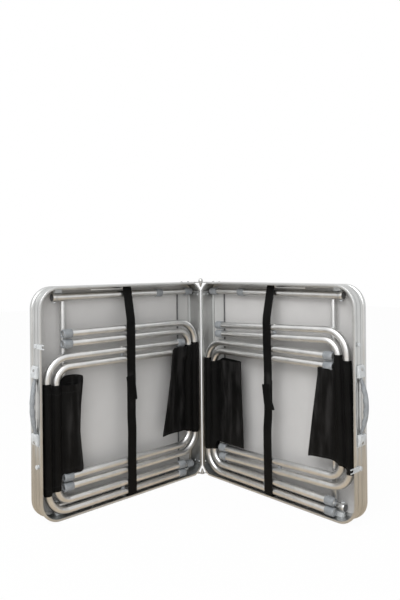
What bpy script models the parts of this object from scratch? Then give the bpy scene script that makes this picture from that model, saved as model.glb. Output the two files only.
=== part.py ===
"""A folding suitcase table with four stools, standing half open on its long sides.

Metres, +Z up. Each half of the case is modelled in its own frame: u runs from the spine to the outer edge,
d from the lip into the case, and w along the spine. The left half is the right half turned end for end.
"""

import math

import bmesh
import bpy
from mathutils import Matrix, Vector

# Fits
GAP = 0.0003
FOLD_GAP = 0.0005
ROUND_STEPS = 12
TUBE_ROUNDING = 4
BEND_STEPS = 6

# Case
CASE_WIDTH = 0.550
CASE_HEIGHT = 0.600
CASE_DEPTH = 0.052
OUTER_CORNER_R = 0.057
SPINE_CORNER_R = 0.027
SPINE_JOINT = 0.003
BEAD_HEIGHT = 0.0030
LIP_BEAD = 0.0065
BACK_BEAD = 0.0090
BEAD_SLOPE = 0.0015
EDGE_CHAMFER = 0.0008
RIM_WALL = 0.0022
FLANGE_REACH = 0.0060
SPINE_FLANGE_REACH = 0.0035
FLANGE_T = 0.0020
SPINE_WALL = 0.0022
LEDGE_REACH = 0.0120
LEDGE_T = 0.0020
PANEL_T = 0.0042
PANEL_SINK = 0.0003
BRACE_U = 0.0355
BRACE_WIDTH = 0.041
BRACE_T = 0.0019
BRACE_END = 0.029

# Hinges
LEAF_T = 0.0025
LEAF_END_U = 0.074
LEAF_START_D = 0.014
LEAF_WIDTH = 0.023
LEAF_ARM_START = 0.0010
LEAF_ARM_END = 0.0115
LEAF_EYE_R = 0.0070
HINGE_PIN_R = 0.0025
PIN_DOME_R = 0.0075
PIN_DOME_H = 0.0110
PIN_TAIL_R = 0.0050
PIN_TAIL_TIP_R = 0.0022
PIN_TAIL_L = 0.0120

# Legs
LEG_EDGE = 0.029
LEG_TUBE_R = 0.0100
LEG_CAP_R = 0.0115
LEG_CAP_L = 0.012
LEG_CLEARANCE = 0.0005
LEG_PIVOT_INSET = 0.059
LEG_TAIL = 0.007
LEG_MOUTH_U = 0.1403
LEG_BORE_END_U = 0.350
EXTENSION_R = 0.0082
EXTENSION_END_U = 0.340
COLLAR_LENGTH = 0.024
COLLAR_LIP = 0.008
FOOT_END_U = 0.0125
FOOT_LENGTH = 0.0275
FOOT_FLOOR = 0.004
FOOT_CHAMFER = 0.003
CROSSBAR_R = 0.0070
CROSSBAR_OFFSET = 0.024
LEG_PIN_R = 0.0030
LEG_NUT_R = 0.0055
LEG_NUT_H = 0.0030
BRACKET_BACK = 0.020
BRACKET_FRONT = 0.0025
BRACKET_WIDTH = 0.018

# Stools
STOOL_WIDTH = 0.398
STOOL_PITCH = 0.026
STOOL_TUBE_R = 0.0095
STOOL_CAP_R = 0.0120
STOOL_CAP_L = 0.026
STOOL_LIP_CLEARANCE = 0.0025
OUTER_BEND_R = 0.060
INNER_BEND_R = 0.040
STOOL_FOOT_CLEARANCE = 0.0095
SPACER_R = 0.0060

# Seats
SLEEVE_T = 0.0014
OUTER_SLEEVE_HALF = 0.136
INNER_SLEEVE_HALF = 0.130
FLAP_HALF_FREE = 0.117
FLAP_HALF_NEAR = 0.092
FLAP_T = 0.0014
FLAP_ROOT_T = 0.0040

# Straps
STRAP_U = 0.267
STRAP_WIDTH = 0.029
STRAP_T = 0.0014
STRAP_LIP_CLEARANCE = 0.0008
STRAP_ANCHOR_D = 0.020
STRAP_BEND = 0.0042
STRAP_TOP_D = 0.022
STRAP_TAB = 0.014
STRAP_OVER_STOOL = 0.006

# Handles
GRIP_PIVOT_OUT = 0.0020
GRIP_PIVOT_D = 0.0245
GRIP_BOW = 0.0120
GRIP_HALF = 0.0640
GRIP_R = 0.0065
GRIP_STUB_R = 0.0030
GRIP_STUB_L = 0.0170
GRIP_END_TAPER = 0.33
GRIP_WAVE = 0.0007
GRIP_WAVES = 5
GRIP_STATIONS = 24
GRIP_BRACKET_GAP = 0.0058
HANDLE_BRACKET_L = 0.031
HANDLE_BRACKET_W = 0.028
HANDLE_BRACKET_COVER = 0.0050
HANDLE_BRACKET_FLAT = 0.012
HANDLE_BRACKET_TOE = 0.003

# Latches
LATCH_W = 0.148
LATCH_PIVOT_D = 0.016
CATCH_D = 0.016
HOOK_PAST_LIP = 0.025
HOOK_T = 0.0020
HOOK_OFF_FACE = 0.0006
HOOK_HALF = 0.0060
HOOK_SLOT_HALF = 0.0036
HOOK_SLACK = 0.0006
KNOB_R = 0.0055
KNOB_H = 0.0036
LATCH_BASE_R = 0.0050
CATCH_STEM_R = 0.0030
CATCH_HEAD_T = 0.0016

# Where each stool lies at rest, up from the case wall or out from the spine, and how far its flap hangs
STOOL_WALL_CLEARANCE = 0.0013
STOOL_STAGGER = 0.060
SPINE_STOOL_U = 0.018
OUTER_STOOL_INSET = 0.025
RIGHT_OUTER_TILT = math.radians(2.0)
GRIP_TURNS = {"left": math.radians(-30.0), "right": math.radians(15.0)}
FLAP_TIPS = {"left_outer": 0.101, "left_spine": 0.113, "right_outer": 0.105, "right_spine": 0.150}
FLAP_SLANTS = {"left_outer": 0.0, "left_spine": 0.155, "right_outer": 0.172, "right_spine": -0.033}
FLAP_LOOPS = {"left_outer": 0.017, "left_spine": 0.006, "right_outer": 0.006, "right_spine": 0.007}

# Depths and places that follow from the sizes above
LIP_D = FOLD_GAP
BACK_D = LIP_D + CASE_DEPTH
PANEL_TOP_D = BACK_D - PANEL_SINK
PANEL_UNDER_D = PANEL_TOP_D - PANEL_T
LEDGE_TOP_D = PANEL_UNDER_D - GAP
LEDGE_UNDER_D = LEDGE_TOP_D - LEDGE_T
INNER_WALL = BEAD_HEIGHT + RIM_WALL
STOOL_D = LIP_D + STOOL_LIP_CLEARANCE + STOOL_TUBE_R
LOWER_STOOL_Z = INNER_WALL + STOOL_WALL_CLEARANCE + STOOL_CAP_R + STOOL_WIDTH / 2
UPPER_STOOL_Z = LOWER_STOOL_Z + STOOL_STAGGER
LEG_D = STOOL_D + STOOL_TUBE_R + LEG_CLEARANCE + LEG_CAP_R
LEG_PIVOT_U = CASE_WIDTH - LEG_PIVOT_INSET
OUTER_STOOL_U = CASE_WIDTH - OUTER_STOOL_INSET
# A stool's feet stop short of the next stool's inner crossbar
STOOL_LENGTH = OUTER_STOOL_U - STOOL_PITCH - STOOL_TUBE_R - STOOL_FOOT_CLEARANCE - SPINE_STOOL_U
STOOL_PIVOT = STOOL_LENGTH / 2
RECESS_U = CASE_WIDTH - BEAD_HEIGHT
GRIP_AXIS_U = CASE_WIDTH + GRIP_PIVOT_OUT
HANDLE_HALF_INNER = GRIP_HALF + GRIP_BRACKET_GAP
GRIP_REACH_U = {side: GRIP_AXIS_U + GRIP_BOW * math.cos(turn) + GRIP_R for side, turn in GRIP_TURNS.items()}
SLEEVE_R = STOOL_TUBE_R + GAP + SLEEVE_T
SPINE_X = (GRIP_REACH_U["left"] - BACK_D) / 2
SPINE_Y = (GRIP_REACH_U["right"] - BACK_D) / 2

FINISHES = {
    "rim_aluminium": ((0.70, 0.70, 0.68), 0.32, 1.0),
    "tube_aluminium": ((0.78, 0.78, 0.77), 0.24, 1.0),
    "steel": ((0.62, 0.62, 0.62), 0.30, 1.0),
    "panel_grey": ((0.55, 0.56, 0.57), 0.55, 0.0),
    "brace_white": ((0.72, 0.72, 0.71), 0.45, 0.0),
    "grey_plastic": ((0.24, 0.28, 0.32), 0.48, 0.0),
    "pale_plastic": ((0.62, 0.64, 0.65), 0.42, 0.0),
    "black_fabric": ((0.012, 0.012, 0.013), 0.85, 0.0),
}


def clear_scene():
    """Remove whatever the open scene holds."""
    for thing in list(bpy.data.objects):
        bpy.data.objects.remove(thing, do_unlink=True)


def make_collection(name):
    """Add a collection to the scene and return it."""
    group = bpy.data.collections.new(name)
    bpy.context.scene.collection.children.link(group)
    return group


def make_finish(name):
    """A Principled material from the table of finishes, made once."""
    found = bpy.data.materials.get(name)
    if found:
        return found
    colour, roughness, metallic = FINISHES[name]
    finish = bpy.data.materials.new(name)
    finish.use_nodes = True
    shader = finish.node_tree.nodes["Principled BSDF"]
    shader.inputs["Base Color"].default_value = (*colour, 1.0)
    shader.inputs["Roughness"].default_value = roughness
    shader.inputs["Metallic"].default_value = metallic
    finish.diffuse_color = (*colour, 1.0)
    return finish


clear_scene()
PARTS = make_collection("folding_suitcase_table")
HELPERS = make_collection("cutters")


def make_empty(name, parent, matrix):
    """An empty on a joint's axis or at the middle of a sub-assembly."""
    empty = bpy.data.objects.new(name, None)
    empty.empty_display_size = 0.03
    PARTS.objects.link(empty)
    empty.parent = parent
    empty.matrix_local = matrix
    return empty


def weld(mesh):
    """Close the loose caps of a mesh made from a curve, and turn its faces out."""
    work = bmesh.new()
    work.from_mesh(mesh)
    bmesh.ops.remove_doubles(work, verts=work.verts, dist=1e-6)
    bmesh.ops.recalc_face_normals(work, faces=work.faces)
    work.to_mesh(mesh)
    work.free()
    return mesh


def mesh_of(thing):
    """The evaluated mesh of a scratch object, which is then removed."""
    HELPERS.objects.link(thing)
    graph = bpy.context.evaluated_depsgraph_get()
    mesh = bpy.data.meshes.new_from_object(thing.evaluated_get(graph))
    bpy.data.objects.remove(thing, do_unlink=True)
    return weld(mesh)


def add_part(name, mesh, parent, finish):
    """A named part whose mesh is given in its parent's frame."""
    part = bpy.data.objects.new(name, mesh)
    PARTS.objects.link(part)
    part.parent = parent
    mesh.materials.clear()
    mesh.materials.append(make_finish(finish))
    mesh.shade_smooth()
    mesh.set_sharp_from_angle(angle=math.radians(35))
    return part


def combine(part, mesh, operation):
    """Join a mesh to a part, or cut it away, in the frame of the part's parent."""
    helper = bpy.data.objects.new(f"{part.name}_{operation.lower()}", mesh)
    HELPERS.objects.link(helper)
    helper.parent = part.parent
    helper.hide_render = True
    helper.display_type = "WIRE"
    change = part.modifiers.new(operation.title(), "BOOLEAN")
    change.operation = operation
    change.object = helper


def axes(x, y, z, origin=(0, 0, 0)):
    """The matrix whose columns are three directions and a place."""
    matrix = Matrix((x, y, z)).transposed().to_4x4()
    matrix.translation = origin
    return matrix


ALONG_U = axes((0, 1, 0), (0, 0, 1), (1, 0, 0))
ALONG_W = Matrix.Identity(4)


def moved(direction, place):
    """A direction matrix carried to a place."""
    return Matrix.Translation(place) @ direction


def poly_spline(curve, points, cyclic):
    """Add one straight-segment spline to a curve."""
    spline = curve.splines.new("POLY")
    spline.points.add(len(points) - 1)
    for knot, point in zip(spline.points, points):
        knot.co = (*point, 0.0, 1.0) if len(point) == 2 else (*point, 1.0)
    spline.use_cyclic_u = cyclic
    return spline


def plate_mesh(outlines, thickness, frame):
    """A flat outline, with any holes, extruded to a thickness about the frame's own XY plane."""
    curve = bpy.data.curves.new("outline", "CURVE")
    curve.dimensions = "2D"
    curve.fill_mode = "BOTH"
    curve.extrude = thickness / 2
    for outline in outlines:
        poly_spline(curve, outline, True)
    mesh = mesh_of(bpy.data.objects.new("outline", curve))
    mesh.transform(frame)
    return mesh


def tube_mesh(points, radius, scales=None, rounding=TUBE_ROUNDING):
    """A round bar along points, with an optional scale of the radius at each one."""
    curve = bpy.data.curves.new("path", "CURVE")
    curve.dimensions = "3D"
    curve.bevel_depth = radius
    curve.bevel_resolution = rounding
    curve.use_fill_caps = True
    spline = poly_spline(curve, points, False)
    for knot, scale in zip(spline.points, scales or []):
        knot.radius = scale
    return mesh_of(bpy.data.objects.new("path", curve))


def turned_mesh(profile, frame, closed=False, steps=ROUND_STEPS):
    """A profile of radius and height, listed from the top down, turned about the frame's Z axis."""
    mesh = bpy.data.meshes.new("profile")
    count = len(profile)
    edges = [(i, (i + 1) % count) for i in range(count if closed else count - 1)]
    mesh.from_pydata([(radius, 0.0, height) for radius, height in profile], edges, [])
    thing = bpy.data.objects.new("profile", mesh)
    turn = thing.modifiers.new("Turn", "SCREW")
    turn.steps = turn.render_steps = steps
    turn.use_merge_vertices = True
    turn.merge_threshold = 0.00001
    result = mesh_of(thing)
    result.transform(frame)
    return result


def arc(centre, radius, start, end, steps):
    """Points round an arc, by angles in degrees."""
    angles = [math.radians(start + (end - start) * i / steps) for i in range(steps + 1)]
    return [(centre[0] + radius * math.cos(a), centre[1] + radius * math.sin(a)) for a in angles]


def circle(centre, radius, steps=ROUND_STEPS):
    """Points round a full circle."""
    return arc(centre, radius, 0, 360, steps)[:-1]


def rounded_box(low, high, radii, steps):
    """A rectangle outline whose left and right corners have their own radii."""
    (x0, y0), (x1, y1) = low, high
    left, right = radii
    return (
        arc((x0 + left, y0 + left), left, 180, 270, steps)
        + arc((x1 - right, y0 + right), right, 270, 360, steps)
        + arc((x1 - right, y1 - right), right, 0, 90, steps)
        + arc((x0 + left, y1 - left), left, 90, 180, steps)
    )


def thick_line(points, thickness):
    """The closed outline of a strip of even thickness along points."""
    half = thickness / 2
    sides = ([], [])
    for i, point in enumerate(points):
        before = Vector(points[max(i - 1, 0)])
        after = Vector(points[min(i + 1, len(points) - 1)])
        way = (after - before).normalized()
        across = Vector((-way.y, way.x)) * half
        sides[0].append(tuple(Vector(point) + across))
        sides[1].append(tuple(Vector(point) - across))
    return sides[0] + sides[1][::-1]


def rim_profile(flange, wall):
    """The rim's section, as distance in from its outermost face and depth from the lip plane."""
    inner = BEAD_HEIGHT + wall
    return [
        (EDGE_CHAMFER, LIP_D),
        (0.0, LIP_D + EDGE_CHAMFER),
        (0.0, LIP_D + LIP_BEAD),
        (BEAD_HEIGHT, LIP_D + LIP_BEAD + BEAD_SLOPE),
        (BEAD_HEIGHT, BACK_D - BACK_BEAD - BEAD_SLOPE),
        (0.0, BACK_D - BACK_BEAD),
        (0.0, BACK_D - EDGE_CHAMFER),
        (EDGE_CHAMFER, BACK_D),
        (wall, BACK_D),
        (wall, LEDGE_TOP_D),
        (LEDGE_REACH, LEDGE_TOP_D),
        (LEDGE_REACH, LEDGE_UNDER_D),
        (inner, LEDGE_UNDER_D),
        (inner, LIP_D + FLANGE_T),
        (flange, LIP_D + FLANGE_T),
        (flange, LIP_D),
    ]


def swept_mesh(path, profile):
    """The rim's section carried along a path of u and w."""
    section = bpy.data.curves.new("section", "CURVE")
    section.dimensions = "2D"
    poly_spline(section, [(-inward, -depth) for inward, depth in profile], True)
    section_object = bpy.data.objects.new("section", section)
    HELPERS.objects.link(section_object)
    curve = bpy.data.curves.new("path", "CURVE")
    curve.dimensions = "2D"
    curve.fill_mode = "NONE"
    curve.bevel_mode = "OBJECT"
    curve.bevel_object = section_object
    curve.use_fill_caps = True
    poly_spline(curve, path, False)
    mesh = mesh_of(bpy.data.objects.new("path", curve))
    bpy.data.objects.remove(section_object, do_unlink=True)
    mesh.transform(axes((1, 0, 0), (0, 0, 1), (0, -1, 0)))
    return mesh


def case_rim(half, side):
    """The bent rim, the straight spine bar, the tabletop panel and the brace across its underside."""
    spine, top = FOLD_GAP, CASE_HEIGHT
    small, large = SPINE_CORNER_R, OUTER_CORNER_R
    joint = small + SPINE_JOINT
    path = (
        [(spine, joint)]
        + arc((spine + small, small), small, 180, 270, BEND_STEPS)
        + arc((CASE_WIDTH - large, large), large, 270, 360, BEND_STEPS + 2)
        + arc((CASE_WIDTH - large, top - large), large, 0, 90, BEND_STEPS + 2)
        + arc((spine + small, top - small), small, 90, 180, BEND_STEPS)
        + [(spine, top - joint)]
    )
    rim = swept_mesh(path, rim_profile(FLANGE_REACH, RIM_WALL))
    add_part(f"{side}_case_rim", rim, half, "rim_aluminium")
    straight = [(spine, top - joint - GAP), (spine, joint + GAP)]
    bar = swept_mesh(straight, rim_profile(SPINE_FLANGE_REACH, SPINE_WALL))
    add_part(f"{side}_spine_bar", bar, half, "rim_aluminium")
    inset = RIM_WALL + GAP
    outline = rounded_box(
        (spine + inset, inset),
        (CASE_WIDTH - inset, top - inset),
        (small - inset, large - inset),
        BEND_STEPS + 2,
    )
    flat = axes((1, 0, 0), (0, 0, 1), (0, -1, 0), (0, (PANEL_TOP_D + PANEL_UNDER_D) / 2, 0))
    add_part(f"{side}_top_panel", plate_mesh([outline], PANEL_T, flat), half, "panel_grey")
    low, high = BRACE_U - BRACE_WIDTH / 2, BRACE_U + BRACE_WIDTH / 2
    strip = rounded_box((low, BRACE_END), (high, top - BRACE_END), (0.004, 0.004), 2)
    flat.translation = (0, PANEL_UNDER_D - GAP - BRACE_T / 2, 0)
    add_part(f"{side}_panel_brace", plate_mesh([strip], BRACE_T, flat), half, "brace_white")


def hinge_leaf(half, name, outer_face, inward, lap_outside):
    """A hinge leaf sunk in the rim's recess, with a half-lapped eye on the fold axis."""
    sink = BEAD_HEIGHT - GAP - LEAF_T / 2
    middle = outer_face + inward * sink
    start, end = LEAF_ARM_START, LEAF_ARM_END
    shoulder = LEAF_EYE_R + 0.002
    back = LEAF_START_D + LEAF_WIDTH
    full = [
        (start, shoulder),
        (end, shoulder),
        (end, LEAF_START_D),
        (LEAF_END_U - 0.004, LEAF_START_D),
        (LEAF_END_U, LEAF_START_D + 0.004),
        (LEAF_END_U, back - 0.004),
        (LEAF_END_U - 0.004, back),
        (end, back),
        (start, LEAF_START_D + LEAF_ARM_END),
    ]
    place = Matrix.Translation((0, 0, middle))
    leaf = add_part(name, plate_mesh([full], LEAF_T, place), half, "steel")
    lap = LEAF_T / 2 - GAP / 2
    eye = arc((0, 0), LEAF_EYE_R, 100, 380, ROUND_STEPS + 2)
    eye += [(end, shoulder - 0.002), (end, shoulder + 0.0015), (start, shoulder + 0.0015)]
    hole = circle((0, 0), HINGE_PIN_R + GAP, ROUND_STEPS)
    shift = (LEAF_T / 2 - lap / 2) * (-inward if lap_outside else inward)
    level = Matrix.Translation((0, 0, middle + shift))
    combine(leaf, plate_mesh([eye, hole], lap, level), "UNION")


def hinge_pins(half):
    """The two fold pins: domed above the case, flush with the floor below it."""
    top = CASE_HEIGHT
    seat = top - BEAD_HEIGHT
    upper = [
        (0, top + PIN_DOME_H),
        (PIN_DOME_R * 0.5, top + PIN_DOME_H * 0.93),
        (PIN_DOME_R * 0.85, top + PIN_DOME_H * 0.66),
        (PIN_DOME_R, top + PIN_DOME_H * 0.28),
        (PIN_DOME_R, top + FOLD_GAP - GAP),
        (HINGE_PIN_R, top + FOLD_GAP - GAP),
        (HINGE_PIN_R, seat),
        (PIN_TAIL_R, seat),
        (PIN_TAIL_TIP_R, seat - PIN_TAIL_L),
        (0, seat - PIN_TAIL_L - 0.0005),
    ]
    lower = [
        (0, BEAD_HEIGHT + PIN_TAIL_L + 0.0005),
        (PIN_TAIL_TIP_R, BEAD_HEIGHT + PIN_TAIL_L),
        (PIN_TAIL_R, BEAD_HEIGHT),
        (HINGE_PIN_R, BEAD_HEIGHT),
        (HINGE_PIN_R, GAP),
        (0, GAP),
    ]
    # The left half is upside down, so its own low end is the top of the standing case
    flip = axes((1, 0, 0), (0, -1, 0), (0, 0, -1), (0, 0, top))
    add_part("hinge_pin_upper", turned_mesh(upper, flip), half, "steel")
    add_part("hinge_pin_lower", turned_mesh(lower, flip), half, "steel")


def leg_frame(half, side):
    """Two telescopic legs joined by a crossbar, swinging on brackets riveted inside the rim."""
    pivot = Vector((LEG_PIVOT_U, LEG_D, CASE_HEIGHT / 2))
    frame = make_empty(f"{side}_leg_axis", half, Matrix.Translation(pivot))
    end = LEG_PIVOT_U + LEG_TAIL
    tube = [
        (0, end),
        (LEG_CAP_R - 0.0015, end),
        (LEG_CAP_R, end - 0.0015),
        (LEG_CAP_R, end - LEG_CAP_L),
        (LEG_TUBE_R, end - LEG_CAP_L),
        (LEG_TUBE_R, LEG_MOUTH_U),
        (EXTENSION_R + GAP, LEG_MOUTH_U),
        (EXTENSION_R + GAP, LEG_BORE_END_U),
        (0, LEG_BORE_END_U),
    ]
    stop = LEG_MOUTH_U - GAP
    mouth = stop + COLLAR_LENGTH - COLLAR_LIP
    collar = [
        (LEG_CAP_R, mouth),
        (LEG_CAP_R, stop - COLLAR_LIP),
        (EXTENSION_R + GAP, stop - COLLAR_LIP),
        (EXTENSION_R + GAP, stop),
        (LEG_TUBE_R + GAP, stop),
        (LEG_TUBE_R + GAP, mouth),
    ]
    foot_floor = FOOT_END_U + FOOT_FLOOR
    foot_mouth = FOOT_END_U + FOOT_LENGTH
    extension = [
        (0, EXTENSION_END_U),
        (EXTENSION_R, EXTENSION_END_U),
        (EXTENSION_R, foot_floor + GAP),
        (0, foot_floor + GAP),
    ]
    foot = [
        (0, foot_floor),
        (EXTENSION_R + GAP, foot_floor),
        (EXTENSION_R + GAP, foot_mouth),
        (LEG_CAP_R, foot_mouth),
        (LEG_CAP_R, FOOT_END_U + FOOT_CHAMFER),
        (LEG_CAP_R - FOOT_CHAMFER, FOOT_END_U),
        (0, FOOT_END_U),
    ]
    for end_name, w, inward in (("a", LEG_EDGE, 1), ("b", CASE_HEIGHT - LEG_EDGE, -1)):
        line = moved(ALONG_U, Vector((0, LEG_D, w)) - pivot)
        leg = add_part(f"{side}_leg_{end_name}", turned_mesh(tube, line), frame, "tube_aluminium")
        hole = [(LEG_PIN_R + GAP, 0.02), (LEG_PIN_R + GAP, -0.02)]
        hole = [(0, 0.02), *hole, (0, -0.02)]
        combine(leg, turned_mesh(hole, Matrix.Translation((0, 0, w - pivot.z))), "DIFFERENCE")
        add_part(f"{side}_leg_collar_{end_name}", turned_mesh(collar, line, True), frame, "grey_plastic")
        slide = make_empty(f"{side}_extension_axis_{end_name}", frame, Matrix.Translation(line.translation))
        name = f"{side}_leg_extension_{end_name}"
        add_part(name, turned_mesh(extension, ALONG_U), slide, "tube_aluminium")
        add_part(f"{side}_leg_foot_{end_name}", turned_mesh(foot, ALONG_U), slide, "grey_plastic")
        leg_bracket(half, f"{side}_leg_bracket_{end_name}", w, inward)
    reach = CASE_HEIGHT / 2 - LEG_EDGE - LEG_TUBE_R - GAP
    bar = tube_mesh([(-CROSSBAR_OFFSET, 0, -reach), (-CROSSBAR_OFFSET, 0, reach)], CROSSBAR_R)
    add_part(f"{side}_leg_crossbar", bar, frame, "tube_aluminium")


def leg_bracket(half, name, w, inward):
    """A block on the rim's inner wall with the pin that carries one leg."""
    wall = w - inward * (LEG_EDGE - INNER_WALL - GAP)
    top = w - inward * (LEG_CAP_R + GAP)
    block = rounded_box(
        (LEG_PIVOT_U - BRACKET_BACK, LEG_D - BRACKET_WIDTH / 2),
        (LEG_PIVOT_U + BRACKET_FRONT, LEG_D + BRACKET_WIDTH / 2),
        (0.003, 0.006),
        2,
    )
    level = Matrix.Translation((0, 0, (wall + top) / 2))
    bracket = add_part(name, plate_mesh([block], abs(top - wall), level), half, "steel")
    nut = LEG_CAP_R + GAP
    pin = [
        (0, nut + LEG_NUT_H),
        (LEG_NUT_R - 0.001, nut + LEG_NUT_H),
        (LEG_NUT_R, nut + LEG_NUT_H - 0.001),
        (LEG_NUT_R, nut),
        (LEG_PIN_R, nut),
        (LEG_PIN_R, -nut - 0.004),
        (0, -nut - 0.004),
    ]
    up = axes((1, 0, 0), (0, inward, 0), (0, 0, inward), (LEG_PIVOT_U, LEG_D, w))
    combine(bracket, turned_mesh(pin, up), "UNION")


def u_path(cross, half_width, bend, feet, steps):
    """The centre line of a U frame and the scale of its tube, with thicker caps on its two feet."""
    corner = arc((cross + bend, half_width - bend), bend, 180, 90, steps)
    line = [(s, 0.0, w) for s, w in corner]
    cap = feet - STOOL_CAP_L
    line += [(cap, 0.0, half_width), (cap + 0.0004, 0.0, half_width), (feet, 0.0, half_width)]
    thick = STOOL_CAP_R / STOOL_TUBE_R
    scales = [1.0] * (len(corner) + 1) + [thick, thick]
    mirrored = [(s, t, -w) for s, t, w in reversed(line)]
    return mirrored + line, scales[::-1] + scales


def sleeves_mesh():
    """Two fabric sleeves round the crossbars, joined by the sheet across their fronts."""
    radius, pitch = SLEEVE_R, STOOL_PITCH
    lap = math.degrees(math.asin((radius - SLEEVE_T) / radius))
    outer_round = arc((0, 0), radius, -lap, 270, 12)
    inner_round = arc((pitch, 0), radius, -90, 180 + lap, 12)
    bore = STOOL_TUBE_R + GAP
    bores = [circle((0, 0), bore, 14), circle((pitch, 0), bore, 14)]
    mesh = plate_mesh([outer_round + inner_round, *bores], 2.0, ALONG_W)
    for vertex in mesh.vertices:
        reach = OUTER_SLEEVE_HALF if vertex.co.x < pitch / 2 else INNER_SLEEVE_HALF
        vertex.co.z = math.copysign(reach, vertex.co.z)
    return weld(mesh)


def flap_mesh(tip, slant, loop):
    """The doubled flap that hangs from the inner sleeve as an open loop, its tip slanting from end to end."""
    front = -SLEEVE_R + GAP
    root_back = front + FLAP_ROOT_T
    middle = SLEEVE_R - SLEEVE_T / 2
    meet = math.degrees(math.asin(root_back / middle))
    root = arc((STOOL_PITCH, 0), middle, meet, -90, 4)
    centre = (tip - loop / 2, front + loop / 2)
    fold = arc(centre, loop / 2, -90, 90, 8)
    outline = [(STOOL_PITCH, front), *fold, *root]
    inside = arc(centre, loop / 2 - FLAP_T, -90, 90, 6)
    start = STOOL_PITCH + SLEEVE_R + FLAP_T
    inside += [(start, root_back - FLAP_T), (start, front + FLAP_T)]
    shift = (FLAP_HALF_FREE - FLAP_HALF_NEAR) / 2
    place = moved(ALONG_W, (0, 0, shift))
    mesh = plate_mesh([outline, inside], FLAP_HALF_FREE + FLAP_HALF_NEAR, place)
    for vertex in mesh.vertices:
        share = max(0.0, (vertex.co.x - STOOL_PITCH) / (tip - STOOL_PITCH))
        vertex.co.x += share * slant * vertex.co.z
    return mesh


def stool(half, berth, u, w, turned, tilt):
    """A folded stool: an outer U frame, an inner one on the same pivots, and the seat on their crossbars."""
    name = f"{berth}_stool"
    turn = Matrix.Rotation(math.pi if turned else 0.0, 4, "Y")
    lean = Matrix.Rotation(tilt, 4, "Y")
    middle = Vector((STOOL_PIVOT, 0, 0))
    centre = Matrix.Translation(Vector((u, STOOL_D, w)) + turn @ middle)
    base = make_empty(f"{name}_place", half, centre @ lean @ turn @ Matrix.Translation(-middle))
    half_width = STOOL_WIDTH / 2
    path, scales = u_path(0.0, half_width, OUTER_BEND_R, STOOL_LENGTH, BEND_STEPS)
    outer = add_part(f"{name}_outer_frame", tube_mesh(path, STOOL_TUBE_R, scales), base, "tube_aluminium")
    reach = STOOL_PITCH - STOOL_TUBE_R - GAP
    for side in (1, -1):
        spacer = [(0, 0), (SPACER_R, 0), (SPACER_R, -reach), (0, -reach)]
        place = axes((1, 0, 0), (0, side, 0), (0, 0, side), (STOOL_PIVOT, 0, side * half_width))
        combine(outer, turned_mesh(spacer, place), "UNION")
    pivot = make_empty(f"{name}_pivot", base, Matrix.Translation((STOOL_PIVOT, 0, 0)))
    path, scales = u_path(STOOL_PITCH, half_width - STOOL_PITCH, INNER_BEND_R, STOOL_LENGTH, BEND_STEPS)
    inner = tube_mesh(path, STOOL_TUBE_R, scales)
    inner.transform(Matrix.Translation((-STOOL_PIVOT, 0, 0)))
    add_part(f"{name}_inner_frame", inner, pivot, "tube_aluminium")
    seat = add_part(f"{name}_seat", sleeves_mesh(), base, "black_fabric")
    flap = flap_mesh(FLAP_TIPS[berth], FLAP_SLANTS[berth], FLAP_LOOPS[berth])
    combine(seat, flap, "UNION")


def strap(half, side):
    """A webbing strap across the stools, riveted to the case floor and, farther back, to the wall above."""
    front = LIP_D + STRAP_LIP_CLEARANCE + STRAP_T / 2
    wall = INNER_WALL + GAP + STRAP_T / 2
    top = CASE_HEIGHT - wall
    bend = arc((wall + STRAP_BEND, front + STRAP_BEND), STRAP_BEND, 180, 270, 4)
    line = [(STRAP_ANCHOR_D, wall)] + [(d, z) for z, d in bend]
    over_stool = UPPER_STOOL_Z + STOOL_WIDTH / 2 + STOOL_TUBE_R + STRAP_OVER_STOOL
    line += [(front, over_stool), (STRAP_TOP_D, top - STRAP_BEND)]
    line += [(STRAP_TOP_D + STRAP_BEND, top), (STRAP_TOP_D + STRAP_TAB, top)]
    if side == "left":
        line = [(d, CASE_HEIGHT - z) for d, z in line]
    outline = thick_line(line, STRAP_T)
    across = moved(ALONG_U, (STRAP_U, 0, 0))
    add_part(f"{side}_strap", plate_mesh([outline], STRAP_WIDTH, across), half, "black_fabric")


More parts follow.
